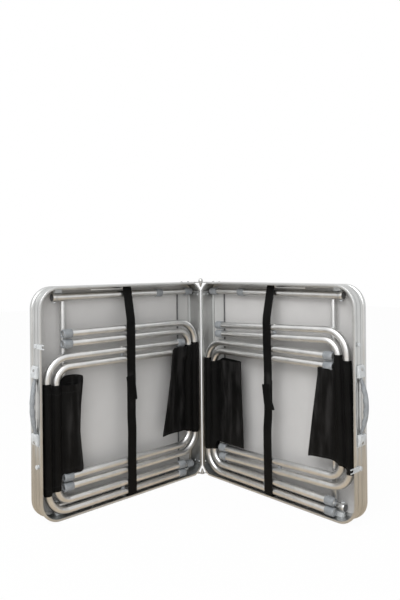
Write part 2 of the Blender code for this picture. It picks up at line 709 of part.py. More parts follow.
def handle(half, side):
    """A grip with finger waves, swinging in two brackets on the outer face."""
    middle = CASE_HEIGHT / 2
    base = RECESS_U + GAP
    top = GRIP_AXIS_U + HANDLE_BRACKET_COVER
    near, far = HANDLE_HALF_INNER, HANDLE_HALF_INNER + HANDLE_BRACKET_L
    outline = [
        (near, base),
        (far, base),
        (far, base + HANDLE_BRACKET_TOE),
        (far - 0.003, base + HANDLE_BRACKET_TOE + 0.003),
        (near + HANDLE_BRACKET_FLAT, top),
        (near + 0.002, top),
        (near, top - 0.002),
    ]
    hole_r = GRIP_STUB_R + GAP
    stub = GRIP_HALF + GRIP_STUB_L
    bore = [(0, stub + 0.001), (hole_r, stub + 0.001), (hole_r, near - 0.01), (0, near - 0.01)]
    for end_name, sign in (("a", -1), ("b", 1)):
        across = axes((0, 0, sign), (1, 0, 0), (0, sign, 0), (0, GRIP_PIVOT_D, middle))
        mesh = weld(plate_mesh([outline], HANDLE_BRACKET_W, across))
        bracket = add_part(f"{side}_handle_bracket_{end_name}", mesh, half, "pale_plastic")
        place = axes((1, 0, 0), (0, sign, 0), (0, 0, sign), (GRIP_AXIS_U, GRIP_PIVOT_D, middle))
        combine(bracket, turned_mesh(bore, place), "DIFFERENCE")
    axis = Matrix.Translation((GRIP_AXIS_U, GRIP_PIVOT_D, middle))
    pivot = make_empty(f"{side}_grip_axis", half, axis @ Matrix.Rotation(GRIP_TURNS[side], 4, "Z"))
    line = [(0.0, stub), (0.0, GRIP_HALF + 0.003)]
    scales = [GRIP_STUB_R / GRIP_R] * 2
    for i in range(GRIP_STATIONS + 1):
        place = 1 - 2 * i / GRIP_STATIONS
        ripple = GRIP_WAVE * math.cos(math.pi * GRIP_WAVES * place)
        line.append((GRIP_BOW * (1 - place**2) + ripple * (1 - place**4), GRIP_HALF * place))
        swell = 1 - place**4 * GRIP_END_TAPER
        scales.append(swell - ripple / GRIP_R * (1 - place**4))
    line += [(0.0, -GRIP_HALF - 0.003), (0.0, -stub)]
    scales += [GRIP_STUB_R / GRIP_R] * 2
    points = [(bow, 0.0, w) for bow, w in line]
    grip = tube_mesh(points, GRIP_R, scales, 3)
    add_part(f"{side}_handle_grip", grip, pivot, "grey_plastic")


def latch(half, side):
    """A forked hook on one end of the outer face, and the catch for the other half's hook."""
    low = CASE_WIDTH + HOOK_OFF_FACE
    high = low + HOOK_T
    base = RECESS_U + GAP
    reach = LATCH_PIVOT_D + HOOK_PAST_LIP
    slot = -(LATCH_PIVOT_D + CATCH_D) + HOOK_SLACK
    outline = [(-reach, HOOK_HALF), (-reach, HOOK_SLOT_HALF)]
    outline += arc((slot, 0), HOOK_SLOT_HALF, 90, -90, 6)
    outline += [(-reach, -HOOK_SLOT_HALF), (-reach, -HOOK_HALF)]
    outline += arc((0, 0), HOOK_HALF, -90, 90, 8)
    axis = Matrix.Translation((CASE_WIDTH, LATCH_PIVOT_D, LATCH_W))
    pivot = make_empty(f"{side}_hook_axis", half, axis)
    level = moved(ALONG_U, ((low + high) / 2 - CASE_WIDTH, 0, 0))
    hook = add_part(f"{side}_latch_hook", plate_mesh([outline], HOOK_T, level), pivot, "steel")
    knob = [
        (0, high + KNOB_H),
        (KNOB_R - 0.001, high + KNOB_H),
        (KNOB_R, high + KNOB_H - 0.001),
        (KNOB_R, high - 0.0005),
        (LATCH_BASE_R, high - 0.0005),
        (LATCH_BASE_R, base),
        (0, base),
    ]
    combine(hook, turned_mesh(knob, moved(ALONG_U, (-CASE_WIDTH, 0, 0))), "UNION")
    head = high + HOOK_OFF_FACE
    stem = CASE_WIDTH + GAP / 2
    catch = [
        (0, head + CATCH_HEAD_T),
        (KNOB_R - 0.0008, head + CATCH_HEAD_T),
        (KNOB_R, head + CATCH_HEAD_T - 0.0008),
        (KNOB_R, head),
        (CATCH_STEM_R, head),
        (CATCH_STEM_R, stem),
        (LATCH_BASE_R, stem),
        (LATCH_BASE_R, base),
        (0, base),
    ]
    place = moved(ALONG_U, (0, CATCH_D, CASE_HEIGHT - LATCH_W))
    add_part(f"{side}_latch_catch", turned_mesh(catch, place), half, "steel")


def case_half(side, half):
    """Everything that belongs to one half of the case."""
    case_rim(half, side)
    hinge_leaf(half, f"{side}_hinge_leaf_a", 0.0, 1, False)
    hinge_leaf(half, f"{side}_hinge_leaf_b", CASE_HEIGHT, -1, True)
    leg_frame(half, side)
    strap(half, side)
    handle(half, side)
    latch(half, side)


def main():
    """Build the two halves and lay two stools in each."""
    spine = Vector((SPINE_X, SPINE_Y, 0))
    right = make_empty("right_case", None, axes((0, -1, 0), (1, 0, 0), (0, 0, 1), spine))
    top = spine + Vector((0, 0, CASE_HEIGHT))
    left = make_empty("left_case", None, axes((-1, 0, 0), (0, 1, 0), (0, 0, -1), top))
    case_half("left", left)
    case_half("right", right)
    hinge_pins(left)
    low, high = LOWER_STOOL_Z, UPPER_STOOL_Z
    flip = CASE_HEIGHT
    stool(left, "left_outer", OUTER_STOOL_U, flip - low, True, 0.0)
    stool(left, "left_spine", SPINE_STOOL_U, flip - high, False, 0.0)
    stool(right, "right_outer", OUTER_STOOL_U, high, True, -RIGHT_OUTER_TILT)
    stool(right, "right_spine", SPINE_STOOL_U, low, False, 0.0)


main()
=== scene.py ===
"""A folding suitcase table with four stools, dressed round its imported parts.

Metres, +Z up. Each half of the case has its own frame: u runs from the spine to the outer edge, d from the
lip into the case, and w along the spine. The left half is the right half turned end for end. A stool's own
frame has x from its outer crossbar to its feet, y as d, and z along the crossbars.
"""

from __future__ import annotations

import logging
import math
from collections.abc import Callable, Sequence
from dataclasses import dataclass
from enum import Enum

import bmesh
import bpy
from mathutils import Matrix, Vector, noise

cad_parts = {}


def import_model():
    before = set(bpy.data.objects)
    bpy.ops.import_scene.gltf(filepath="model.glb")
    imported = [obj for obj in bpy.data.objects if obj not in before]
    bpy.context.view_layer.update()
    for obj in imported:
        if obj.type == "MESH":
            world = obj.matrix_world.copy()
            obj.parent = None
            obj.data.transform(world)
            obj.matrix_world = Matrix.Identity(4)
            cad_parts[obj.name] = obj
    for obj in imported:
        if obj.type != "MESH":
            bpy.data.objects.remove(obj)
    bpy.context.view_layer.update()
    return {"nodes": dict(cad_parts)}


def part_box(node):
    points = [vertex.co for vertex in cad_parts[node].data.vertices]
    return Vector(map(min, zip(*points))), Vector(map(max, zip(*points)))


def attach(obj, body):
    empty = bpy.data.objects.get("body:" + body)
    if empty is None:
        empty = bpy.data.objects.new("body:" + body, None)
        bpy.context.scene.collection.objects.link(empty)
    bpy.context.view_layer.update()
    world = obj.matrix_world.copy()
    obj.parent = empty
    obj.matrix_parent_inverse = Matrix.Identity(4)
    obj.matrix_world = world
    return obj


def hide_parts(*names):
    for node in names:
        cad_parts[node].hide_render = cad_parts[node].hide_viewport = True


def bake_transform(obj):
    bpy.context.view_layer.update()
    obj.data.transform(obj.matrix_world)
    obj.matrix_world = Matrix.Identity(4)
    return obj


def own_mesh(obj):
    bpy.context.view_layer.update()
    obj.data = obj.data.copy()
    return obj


LOG = logging.getLogger("suitcase_table")
Node = bpy.types.Node
Socket = bpy.types.NodeSocket
Material = bpy.types.Material
Piece = bpy.types.Object
Point = Sequence[float]
Pair = tuple[float, float]
Triple = tuple[float, float, float]
Colour = Triple
Steps = tuple[Pair, ...]
WHITE: Colour = (1.0, 1.0, 1.0)
GAP = 0.0003
HOLLOW_END: Steps = ((-0.0028, 0.0), (-0.0036, 0.0), (-0.0042, 0.0012), (-0.0046, 0.0050))


class Side(Enum):
    """The two halves of the case."""

    LEFT = "left"
    RIGHT = "right"


class Finish(Enum):
    """The finishes, by the name of their material."""

    RIM_LEFT = "rim_aluminium_left"
    RIM_RIGHT = "rim_aluminium_right"
    TUBE = "tube_aluminium"
    STEEL = "steel"
    PANEL = "panel_grey"
    BRACE = "brace_white"
    CAP = "grey_plastic"
    BRACKET = "pale_plastic"
    SEAT = "seat_fabric"
    WEBBING = "webbing"
    # Dark plastic for the leg plugs, and for the strip of painted shade along the brace's edge.
    TRIM = "dark_trim"


def srgb(red: int, green: int, blue: int) -> Colour:
    """Turn a screen colour of 0 to 255 into the linear values that a shader takes.

    Args:
        red: the red value.
        green: the green value.
        blue: the blue value.

    Returns:
        The linear colour.
    """
    shares = (red / 255, green / 255, blue / 255)
    linear = [s / 12.92 if s <= 0.04045 else ((s + 0.055) / 1.055) ** 2.4 for s in shares]
    return (linear[0], linear[1], linear[2])


def smooth(low: float, high: float, value: float) -> float:
    """Ease from 0 at low to 1 at high."""
    share = min(1.0, max(0.0, (value - low) / (high - low)))
    return share * share * (3 - 2 * share)


def between(table: Steps, place: float) -> float:
    """Read a value at a place from a short table of places and values.

    Args:
        table: places in rising order, each with its value.
        place: where to read.

    Returns:
        The value, on straight lines between the table's places and level beyond its ends.
    """
    if place <= table[0][0]:
        return table[0][1]
    for (low, first), (high, second) in zip(table, table[1:]):
        if place <= high:
            return first + (second - first) * (place - low) / (high - low)
    return table[-1][1]


def axes(x: Point, y: Point, z: Point, origin: Point = (0, 0, 0)) -> Matrix:
    """The matrix whose columns are three directions and a place.

    Args:
        x: where the first axis points.
        y: where the second axis points.
        z: where the third axis points.
        origin: where they start.

    Returns:
        The matrix.
    """
    matrix = Matrix((x, y, z)).transposed().to_4x4()
    matrix.translation = origin
    return matrix


def rings(radius: float, place: float, steps: Steps, way: int = 1) -> list[Pair]:
    """Stations of a round piece.

    Args:
        radius: the radius that the steps count from.
        place: the place along the axis that they count from.
        steps: how much wider each ring is, and how far on it lies.
        way: 1 to count along the axis, or -1 to count back.

    Returns:
        Each ring's radius and place.
    """
    return [(radius + wider, place + way * on) for wider, on in steps]


def lengths_along(line: Sequence[Point], step: Callable[[Point, Point], float]) -> list[float]:
    """The lengths along a line, from its start to each of its points.

    Args:
        line: the line's points.
        step: gives the distance from one point to the next.

    Returns:
        A length for each point.
    """
    lengths = [0.0]
    for before, after in zip(line, line[1:]):
        lengths.append(lengths[-1] + step(before, after))
    return lengths


def point_along(line: Sequence[Vector], lengths: Sequence[float], share: float) -> Vector:
    """The point at a share of a line's whole length.

    Args:
        line: the line's points.
        lengths: the lengths along it.
        share: the share, from 0 to 1.

    Returns:
        The point.
    """
    want = share * lengths[-1]
    i = next((k for k in range(1, len(line)) if lengths[k] >= want), len(line) - 1)
    part = min(1.0, (want - lengths[i - 1]) / (lengths[i] - lengths[i - 1]))
    return line[i - 1].lerp(line[i], part)


# ---------------------------------------------------------------- shaders


class Value:
    """A shader socket on which arithmetic adds Math nodes."""

    def __init__(self, graph: Graph, socket: Socket) -> None:
        """Wrap one output socket of a graph."""
        self.graph = graph
        self.socket = socket

    def math(self, operation: str, *others: Value | float, swapped: bool = False) -> Value:
        """Add a Math node.

        Args:
            operation: the node's operation.
            others: the other operands.
            swapped: whether the first of the others comes before this value.

        Returns:
            The node's result.
        """
        operands: list[Value | float] = [self, *others]
        if swapped:
            operands[0], operands[1] = operands[1], operands[0]
        node = self.graph.node("ShaderNodeMath", {"operation": operation}, dict(enumerate(operands)))
        return Value(self.graph, node.outputs[0])

    def __add__(self, other: Value | float) -> Value:
        """Add."""
        return self.math("ADD", other)

    def __sub__(self, other: Value | float) -> Value:
        """Take away."""
        return self.math("SUBTRACT", other)

    def __rsub__(self, other: float) -> Value:
        """Take away from a number."""
        return self.math("SUBTRACT", other, swapped=True)

    def __mul__(self, other: Value | float) -> Value:
        """Multiply."""
        return self.math("MULTIPLY", other)

    __radd__, __rmul__ = __add__, __mul__

    def sine(self) -> Value:
        """The sine of this value."""
        return self.math("SINE")

    def near(self, centre: float, width: float) -> Value:
        """1 within a width of a centre, and 0 beyond."""
        return self.math("COMPARE", centre, width)

    def above(self, level: float) -> Value:
        """1 above a level, and 0 below."""
        return self.math("GREATER_THAN", level)

    def eased(self, low: float, high: float) -> Value:
        """0 at low, 1 at high, and a smooth step between.

        Args:
            low: where it starts to rise.
            high: where it is full.

        Returns:
            The eased value.
        """
        settings = {"interpolation_type": "SMOOTHSTEP"}
        sockets = {"Value": self, "From Min": low, "From Max": high}
        return Value(self.graph, self.graph.node("ShaderNodeMapRange", settings, sockets).outputs[0])


class Graph:
    """The node tree of a material or of the world."""

    def __init__(self, owner: Material | bpy.types.World) -> None:
        """Start a node tree.

        Args:
            owner: the material or the world.
        """
        owner.use_nodes = True
        self.owner = owner
        self.tree = owner.node_tree

    @classmethod
    def of_material(cls, name: str) -> Graph:
        """Start a new material."""
        return cls(bpy.data.materials.new(name))

    def node(
        self,
        kind: str,
        settings: dict[str, object] | None = None,
        sockets: dict[str | int, object] | None = None,
    ) -> Node:
        """Add any node.

        Args:
            kind: the node's type.
            settings: its own settings, which are set first.
            sockets: a value or a link for each input, by name or number.

        Returns:
            The node.
        """
        made = self.tree.nodes.new(kind)
        for key, setting in (settings or {}).items():
            setattr(made, key, setting)
        for key, value in (sockets or {}).items():
            self.feed(made.inputs[key], value)
        return made

    def feed(self, socket: Socket, value: object) -> None:
        """Set a socket to a number or colour, or link it.

        Args:
            socket: the input to set.
            value: a number, a colour, or a socket or value to link.
        """
        if isinstance(value, Value):
            value = value.socket
        if isinstance(value, Socket):
            self.tree.links.new(value, socket)
        else:
            socket.default_value = (*value, 1.0) if socket.type == "RGBA" and len(value) == 3 else value

    def dress(self, **sockets: object) -> None:
        """Set the Principled shader's sockets, with spaces in their names written as underscores.

        Args:
            sockets: a value or a link for each input.
        """
        shader = self.tree.nodes["Principled BSDF"]
        for key, value in sockets.items():
            self.feed(shader.inputs[key.replace("_", " ")], value)

    def place(self, scale: Point = (1, 1, 1)) -> Socket:
        """The place on the piece in metres, scaled along each axis."""
        where = self.node("ShaderNodeTexCoord").outputs["Object"]
        return self.node("ShaderNodeMapping", None, {"Vector": where, "Scale": scale}).outputs[0]

    def flat_place(self) -> tuple[Value, Value]:
        """The place on the cloth before it was sewn, along and across, in metres."""
        split = self.node("ShaderNodeSeparateXYZ", None, {0: self.node("ShaderNodeUVMap").outputs[0]})
        return Value(self, split.outputs[0]), Value(self, split.outputs[1])

    def height(self) -> Value:
        """The height above the floor in metres, at rest."""
        where = self.node("ShaderNodeTexCoord").outputs["Object"]
        return Value(self, self.node("ShaderNodeSeparateXYZ", None, {0: where}).outputs[2])

    def cloud(self, where: Socket, scale: float, detail: float = 3.0) -> Value:
        """Soft noise from 0 to 1."""
        sockets = {"Vector": where, "Scale": scale, "Detail": detail, "Roughness": 0.55}
        return Value(self, self.node("ShaderNodeTexNoise", None, sockets).outputs[0])

    def mix(self, share: Value, first: object, second: object) -> Socket:
        """Mix two colours by a share."""
        node = self.node("ShaderNodeMix", {"data_type": "RGBA"}, {0: share, 6: first, 7: second})
        return node.outputs[2]

    def bump(self, height: Value, strength: float, distance: float) -> Socket:
        """A normal from a height."""
        sockets = {"Height": height, "Strength": strength, "Distance": distance}
        return self.node("ShaderNodeBump", None, sockets).outputs[0]

    def glow(self, colour: Colour) -> Node:
        """A shader that shows a colour as it is."""
        return self.node("ShaderNodeEmission", None, {"Color": colour, "Strength": 1.0})

    def seen(self) -> Value:
        """1 for what the camera sees, also by a mirror or through glass, and 0 for the rest.

        Returns:
            The value.
        """
        rays = self.node("ShaderNodeLightPath").outputs
        seen = Value(self, rays["Is Camera Ray"])
        for name in ("Is Glossy Ray", "Is Transmission Ray"):
            seen = seen.math("MAXIMUM", Value(self, rays[name]))
        return seen

    def both(self, share: Value, first: Node, second: Node) -> Node:
        """A mix of two shaders by a share."""
        sockets = {0: share, 1: first.outputs[0], 2: second.outputs[0]}
        return self.node("ShaderNodeMixShader", None, sockets)

    def send(self, shader: Node) -> None:
        """Send a shader to the output."""
        self.feed(self.tree.get_output_node("ALL").inputs[0], shader.outputs[0])


@dataclass(frozen=True)
class BrushedAluminium:
    """Extruded aluminium with fine lines along its length and a scuffed lower edge."""

    finish: Finish
    lines: Triple
    dark: Colour = srgb(187, 188, 187)
    light: Colour = srgb(206, 207, 206)
    roughness: float = 0.35
    scuff_height: float = 0.03

    def build(self) -> Material:
        """Make the material.

        Returns:
            The material.
        """
        graph = Graph.of_material(self.finish.value)
        lines = graph.cloud(graph.place(self.lines), scale=1.0, detail=4.0)
        marks = graph.cloud(graph.place(), scale=14.0, detail=5.0)
        low = 1 - graph.height().eased(0.0, self.scuff_height)
        scuffs = low * graph.cloud(graph.place(), scale=160.0).eased(0.48, 0.66)
        tone = lines * 0.6 + marks * 0.4 - scuffs * 0.35
        rough = self.roughness + (lines - 0.5) * 0.05 + (marks - 0.5) * 0.05 + scuffs * 0.12
        graph.dress(
            Base_Color=graph.mix(tone.eased(0.25, 0.75), self.dark, self.light),
            Roughness=rough,
            Metallic=1.0,
            Normal=graph.bump(lines, strength=0.012, distance=0.0002),
        )
        return graph.owner


@dataclass(frozen=True)
class PolishedTube:
    """Drawn aluminium or plated steel, polished, with faint smudges."""

    finish: Finish
    dark: Colour = srgb(209, 210, 210)
    light: Colour = srgb(223, 223, 222)
    roughness: float = 0.36
    smudge: float = 0.06

    def build(self) -> Material:
        """Make the material.

        Returns:
            The material.
        """
        graph = Graph.of_material(self.finish.value)
        smudges = graph.cloud(graph.place(), scale=34.0, detail=4.0)
        graph.dress(
            Base_Color=graph.mix(smudges.eased(0.3, 0.7), self.dark, self.light),
            Roughness=self.roughness + (smudges - 0.45) * self.smudge,
            Metallic=1.0,
        )
        return graph.owner


@dataclass(frozen=True)
class PaintedBoard:
    """A laminated board or painted strip: nearly even, with a fine speckle and a light orange peel."""

    finish: Finish
    dark: Colour
    light: Colour
    roughness: float
    grain: float

    def build(self) -> Material:
        """Make the material.

        Returns:
            The material.
        """
        graph = Graph.of_material(self.finish.value)
        cloudy = graph.cloud(graph.place(), scale=5.0, detail=3.0)
        speckle = graph.cloud(graph.place(), scale=self.grain, detail=2.0)
        graph.dress(
            Base_Color=graph.mix((cloudy * 0.7 + speckle * 0.3).eased(0.3, 0.7), self.dark, self.light),
            Roughness=self.roughness + (cloudy - 0.5) * 0.1,
            Specular_IOR_Level=0.4,
            Normal=graph.bump(speckle, strength=0.1, distance=0.0003),
        )
        return graph.owner


@dataclass(frozen=True)
class MouldedPlastic:
    """Moulded plastic with a fine grain and rubbed patches."""

    finish: Finish
    dark: Colour
    light: Colour
    roughness: float = 0.42

    def build(self) -> Material:
        """Make the material.

        Returns:
            The material.
        """
        graph = Graph.of_material(self.finish.value)
        rubbed = graph.cloud(graph.place(), scale=70.0, detail=3.0)
        grain = graph.cloud(graph.place(), scale=1500.0, detail=2.0)
        graph.dress(
            Base_Color=graph.mix(rubbed.eased(0.3, 0.72), self.dark, self.light),
            Roughness=self.roughness + (rubbed - 0.5) * 0.18,
            Normal=graph.bump(grain, strength=0.22, distance=0.0003),
        )
        return graph.owner


@dataclass(frozen=True)
class WovenBlack:
    """Black cloth woven from flat threads, with lighter patches of painted sheen along one span of its
    length, and sewn hems.

    The cloth's own map is in metres: along the wrap, and across it.
    """

    finish: Finish
    thread: float
    ribs: float
    hem: float
    half_width: float
    # The span along the wrap where painted sheen is mixed into the colour.
    sheen_span: Pair
    stitch_width: float = 0.0006
    stitch_length: float = 0.0042
    dark: Colour = srgb(6, 6, 6)
    light: Colour = srgb(13, 13, 13)
    # The colour of the painted sheen patches.
    painted_sheen: Colour = srgb(45, 44, 44)
    stitch: Colour = srgb(40, 40, 41)

    def build(self) -> Material:
        """Make the material.

        Returns:
            The material.
        """
        graph = Graph.of_material(self.finish.value)
        along, across = graph.flat_place()
        turn = 2 * math.pi
        weave = (along * (turn / self.thread)).sine() * (across * (turn / self.ribs)).sine()
        worn = graph.cloud(graph.place(), scale=22.0, detail=4.0)
        edge = across.math("ABSOLUTE").near(self.half_width - self.hem, self.stitch_width)
        stitches = edge * (along * (turn / self.stitch_length)).sine().above(-0.3)
        start, end = self.sheen_span
        # Painted sheen: lighter patches of colour in one span along the wrap, standing in for the cloth's
        # highlights.
        broad = graph.cloud(graph.place((54.0, 54.0, 10.0)), scale=1.0, detail=2.0)
        sheen_patches = along.eased(start, start + 0.02) * (1 - along.eased(end - 0.04, end)) * broad.eased(0.40, 0.74)
        cloth = graph.mix((worn + weave * 0.08).eased(0.34, 0.78), self.dark, self.light)
        cloth = graph.mix(sheen_patches * 0.75, cloth, self.painted_sheen)
        graph.dress(
            Base_Color=graph.mix(stitches, cloth, self.stitch),
            Roughness=0.50 + (worn - 0.5) * 0.2,
            Specular_IOR_Level=0.09,
            Sheen_Weight=0.01,
            Sheen_Roughness=0.45,
            Normal=graph.bump(weave + worn * 1.5 + stitches * 2.0, strength=0.3, distance=0.0005),
        )
        return graph.owner


def make_finishes() -> dict[Finish, Material]:
    """Make every finish once.

    Returns:
        The materials by finish.
    """
    recipes = (
        BrushedAluminium(Finish.RIM_LEFT, lines=(18, 900, 18)),
        BrushedAluminium(Finish.RIM_RIGHT, lines=(900, 18, 18)),
        PolishedTube(Finish.TUBE),
        PolishedTube(Finish.STEEL, srgb(150, 150, 150), srgb(196, 196, 194), roughness=0.40, smudge=0.12),
        PaintedBoard(Finish.PANEL, srgb(191, 190, 189), srgb(202, 201, 200), roughness=0.46, grain=900.0),
        PaintedBoard(Finish.BRACE, srgb(178, 178, 177), srgb(190, 190, 188), roughness=0.38, grain=700.0),
        MouldedPlastic(Finish.CAP, srgb(126, 130, 134), srgb(145, 149, 152)),
        MouldedPlastic(Finish.BRACKET, srgb(182, 185, 187), srgb(204, 207, 208), roughness=0.38),
        # Used for the leg plugs and for the strip of painted shade beside the brace.
        MouldedPlastic(Finish.TRIM, srgb(84, 85, 86), srgb(104, 105, 106), roughness=0.5),
        # Each cloth's last pair is the span along its wrap that gets painted sheen.
        WovenBlack(
            Finish.SEAT, thread=0.0011, ribs=0.0013, hem=0.0075, half_width=0.1335, sheen_span=(0.066, 0.190)
        ),
        WovenBlack(
            Finish.WEBBING, thread=0.0016, ribs=0.0030, hem=0.0018, half_width=0.0150, sheen_span=(0.250, 0.330)
        ),
    )
    return {recipe.finish: recipe.build() for recipe in recipes}


# ---------------------------------------------------------------- modelling


def ring_points(radius: float, height: float, corners: int) -> list[Vector]:
    """Points of a level circle about Z."""
    angles = [2 * math.pi * i / corners for i in range(corners)]
    return [Vector((radius * math.cos(a), radius * math.sin(a), height)) for a in angles]


def set_down(piece: Piece, place: Matrix, angle: float) -> Piece:
    """Smooth a piece up to an angle in degrees, and move its mesh to its place.

    Args:
        piece: the piece, in object mode.
        place: the matrix from the bench to the row frame.
        angle: the angle.

    Returns:
        The piece, at the origin, with its place in its mesh.
    """
    bpy.ops.object.shade_smooth_by_angle(angle=math.radians(angle))
    piece.matrix_world = place
    bpy.ops.object.transform_apply(location=True, rotation=True, scale=True)
    return piece


class Bench:
    """One piece on the bench: started from a primitive and shaped by operators in edit mode."""

    def __init__(self, name: str, corners: Sequence[Point]) -> None:
        """Add a ring, set its corners on a closed outline, and select it for shaping.

        Args:
            name: the piece's name.
            corners: the outline's corners, in order.
        """
        bpy.ops.object.select_all(action="DESELECT")
        bpy.ops.mesh.primitive_circle_add(vertices=len(corners), radius=1.0)
        self.piece: Piece = bpy.context.object
        self.piece.name = name
        for vertex, corner in zip(self.piece.data.vertices, corners):
            vertex.co = corner
        bpy.ops.object.mode_set(mode="EDIT")
        bpy.ops.mesh.select_mode(type="VERT")
        bpy.ops.mesh.select_all(action="SELECT")

    @classmethod
    def turned(cls, name: str, profile: Sequence[Point], closed: bool, corners: int) -> Bench:
        """Build a round piece about Z, one ring after another.

        Args:
            name: the piece's name.
            profile: stations of radius and height.
            closed: whether the last ring joins the first, as on a collar with a bore.
            corners: how many corners the rings have.

        Returns:
            The bench, still in edit mode.
        """
        (radius, height), *rest = profile
        bench = cls(name, ring_points(radius, height, corners))
        for next_radius, next_height in rest:
            bench.extrude((0, 0, next_height - height)).resize(next_radius / radius, (0, 0, next_height))
            radius, height = next_radius, next_height
        return bench.bridge() if closed else bench.cap()

    def extrude(self, step: Point) -> Bench:
        """Carry the selected loop on by a step."""
        bpy.ops.mesh.extrude_region_move(TRANSFORM_OT_translate={"value": tuple(step)})
        return self

    def resize(self, factor: float, centre: Point) -> Bench:
        """Scale the selected loop about a point."""
        bpy.ops.transform.resize(value=(factor, factor, factor), center_override=tuple(centre))
        return self

    def turn(self, degrees: float, centre: Point, axis: Point, steps: int) -> Bench:
        """Sweep the selected loop round an axis, by the right-hand rule."""
        bpy.ops.mesh.spin(steps=steps, angle=-math.radians(degrees), center=tuple(centre), axis=tuple(axis))
        return self

    def bridge(self) -> Bench:
        """Join the last loop to the first.

        Returns:
            The bench.
        """
        bpy.ops.mesh.select_mode(type="EDGE")
        bpy.ops.mesh.select_all(action="DESELECT")
        bpy.ops.mesh.select_non_manifold()
        bpy.ops.mesh.bridge_edge_loops()
        return self

    def cap(self) -> Bench:
        """Close both ends.

        Returns:
            The bench.
        """
        bpy.ops.mesh.select_all(action="SELECT")
        bpy.ops.mesh.fill_holes(sides=0)
        return self

    def finish(self, place: Matrix, bevel: float = 0.0, angle: float = 35.0, segments: int = 2) -> Piece:
        """Turn the faces out, round the edges and set the piece in its place.

        Args:
            place: the matrix from the bench to the row frame.
            bevel: the width of the rounding on sharp edges, or 0.
            angle: the angle in degrees past which an edge counts as sharp.
            segments: steps of the rounding.

        Returns:
            The piece, at the origin, with its place in its mesh.
        """
        bpy.ops.mesh.select_all(action="SELECT")
        bpy.ops.mesh.remove_doubles(threshold=1e-6)
        bpy.ops.mesh.normals_make_consistent(inside=False)
        bpy.ops.object.mode_set(mode="OBJECT")
        if bevel:
            rounding = self.piece.modifiers.new("Rounding", "BEVEL")
            rounding.width = bevel
            rounding.segments = segments
            rounding.limit_method = "ANGLE"
            rounding.angle_limit = math.radians(angle)
            bpy.ops.object.modifier_apply(modifier=rounding.name)
        return set_down(self.piece, place, angle)


class Cloth:
    """A sheet of cloth: a grid whose points are laid along a surface, with its flat place kept as its map."""

    def __init__(self, name: str, along: int, across: int, lay: Callable[[float, float], Point]) -> None:
        """Add a grid and lay it.

        Args:
            name: the sheet's name.
            along: faces along the wrap.
            across: faces across it.
            lay: gives a place for shares of the two ways, each from 0 to 1.
        """
        bpy.ops.object.select_all(action="DESELECT")
        bpy.ops.mesh.primitive_grid_add(x_subdivisions=along, y_subdivisions=across, size=1.0)
        self.piece: Piece = bpy.context.object
        self.piece.name = name
        self.shares = [(v.co.x + 0.5, v.co.y + 0.5) for v in self.piece.data.vertices]
        for vertex, (first, second) in zip(self.piece.data.vertices, self.shares):
            vertex.co = lay(first, second)

    def map(self, flat: Callable[[float, float], Point]) -> Cloth:
        """Keep each point's flat place, in metres, as the sheet's map.

        Args:
            flat: gives the flat place for shares of the two ways.

        Returns:
            The sheet.
        """
        mesh = self.piece.data
        for loop in mesh.loops:
            mesh.uv_layers.active.data[loop.index].uv = flat(*self.shares[loop.vertex_index])
        return self

    def area(self) -> float:
        """The cloth's area."""
        return sum(face.area for face in self.piece.data.polygons)

    def finish(self, place: Matrix, thickness: float) -> Piece:
        """Give the sheet its thickness and set it in its place.

        Args:
            place: the matrix from the sheet to the row frame.
            thickness: its thickness.

        Returns:
            The piece.
        """
        wall = self.piece.modifiers.new("Wall", "SOLIDIFY")
        wall.thickness = thickness
        wall.offset = 0.0
        soften = self.piece.modifiers.new("Soften", "SUBSURF")
        soften.levels = soften.render_levels = 1
        for modifier in (wall, soften):
            bpy.ops.object.modifier_apply(modifier=modifier.name)
        return set_down(self.piece, place, angle=60)


@dataclass
class Workshop:
    """The finishes, and the last step that each piece goes through."""

    finishes: dict[Finish, Material]

    def paint(self, piece: Piece, finish: Finish) -> Piece:
        """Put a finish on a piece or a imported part.

        Args:
            piece: the piece.
            finish: its finish.

        Returns:
            The piece.
        """
        piece.data.materials.clear()
        piece.data.materials.append(self.finishes[finish])
        return piece

    def fit(self, piece: Piece, finish: Finish, body: str, *nodes: str) -> Piece:
        """Finish a piece, let it ride a body, and hide the parts it stands for.

        Args:
            piece: the piece, in its place.
            finish: its finish.
            body: the body that carries it.
            nodes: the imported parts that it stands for.

        Returns:
            The piece.
        """
        self.paint(piece, finish)
        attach(piece, body)
        if nodes:
            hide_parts(*nodes)
        LOG.info("%s rides %s", piece.name, body)
        return piece

    def turn(
        self,
        name: str,
        profile: Sequence[Point],
        place: Matrix,
        finish: Finish,
        body: str,
        *nodes: str,
        corners: int = 36,
        angle: float = 35.0,
        closed: bool = False,
    ) -> None:
        """Turn a round piece and fit it.

        Args:
            name: the piece's name.
            profile: stations of radius and height.
            place: the matrix from its own axis to the row frame.
            finish: its finish.
            body: the body that carries it.
            nodes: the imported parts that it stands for.
            corners: how many corners its rings have.
            angle: the angle in degrees up to which it is smooth.
            closed: whether it has a bore.
        """
        bench = Bench.turned(name, profile, closed, corners)
        self.fit(bench.finish(place, angle=angle), finish, body, *nodes)


# ---------------------------------------------------------------- the case


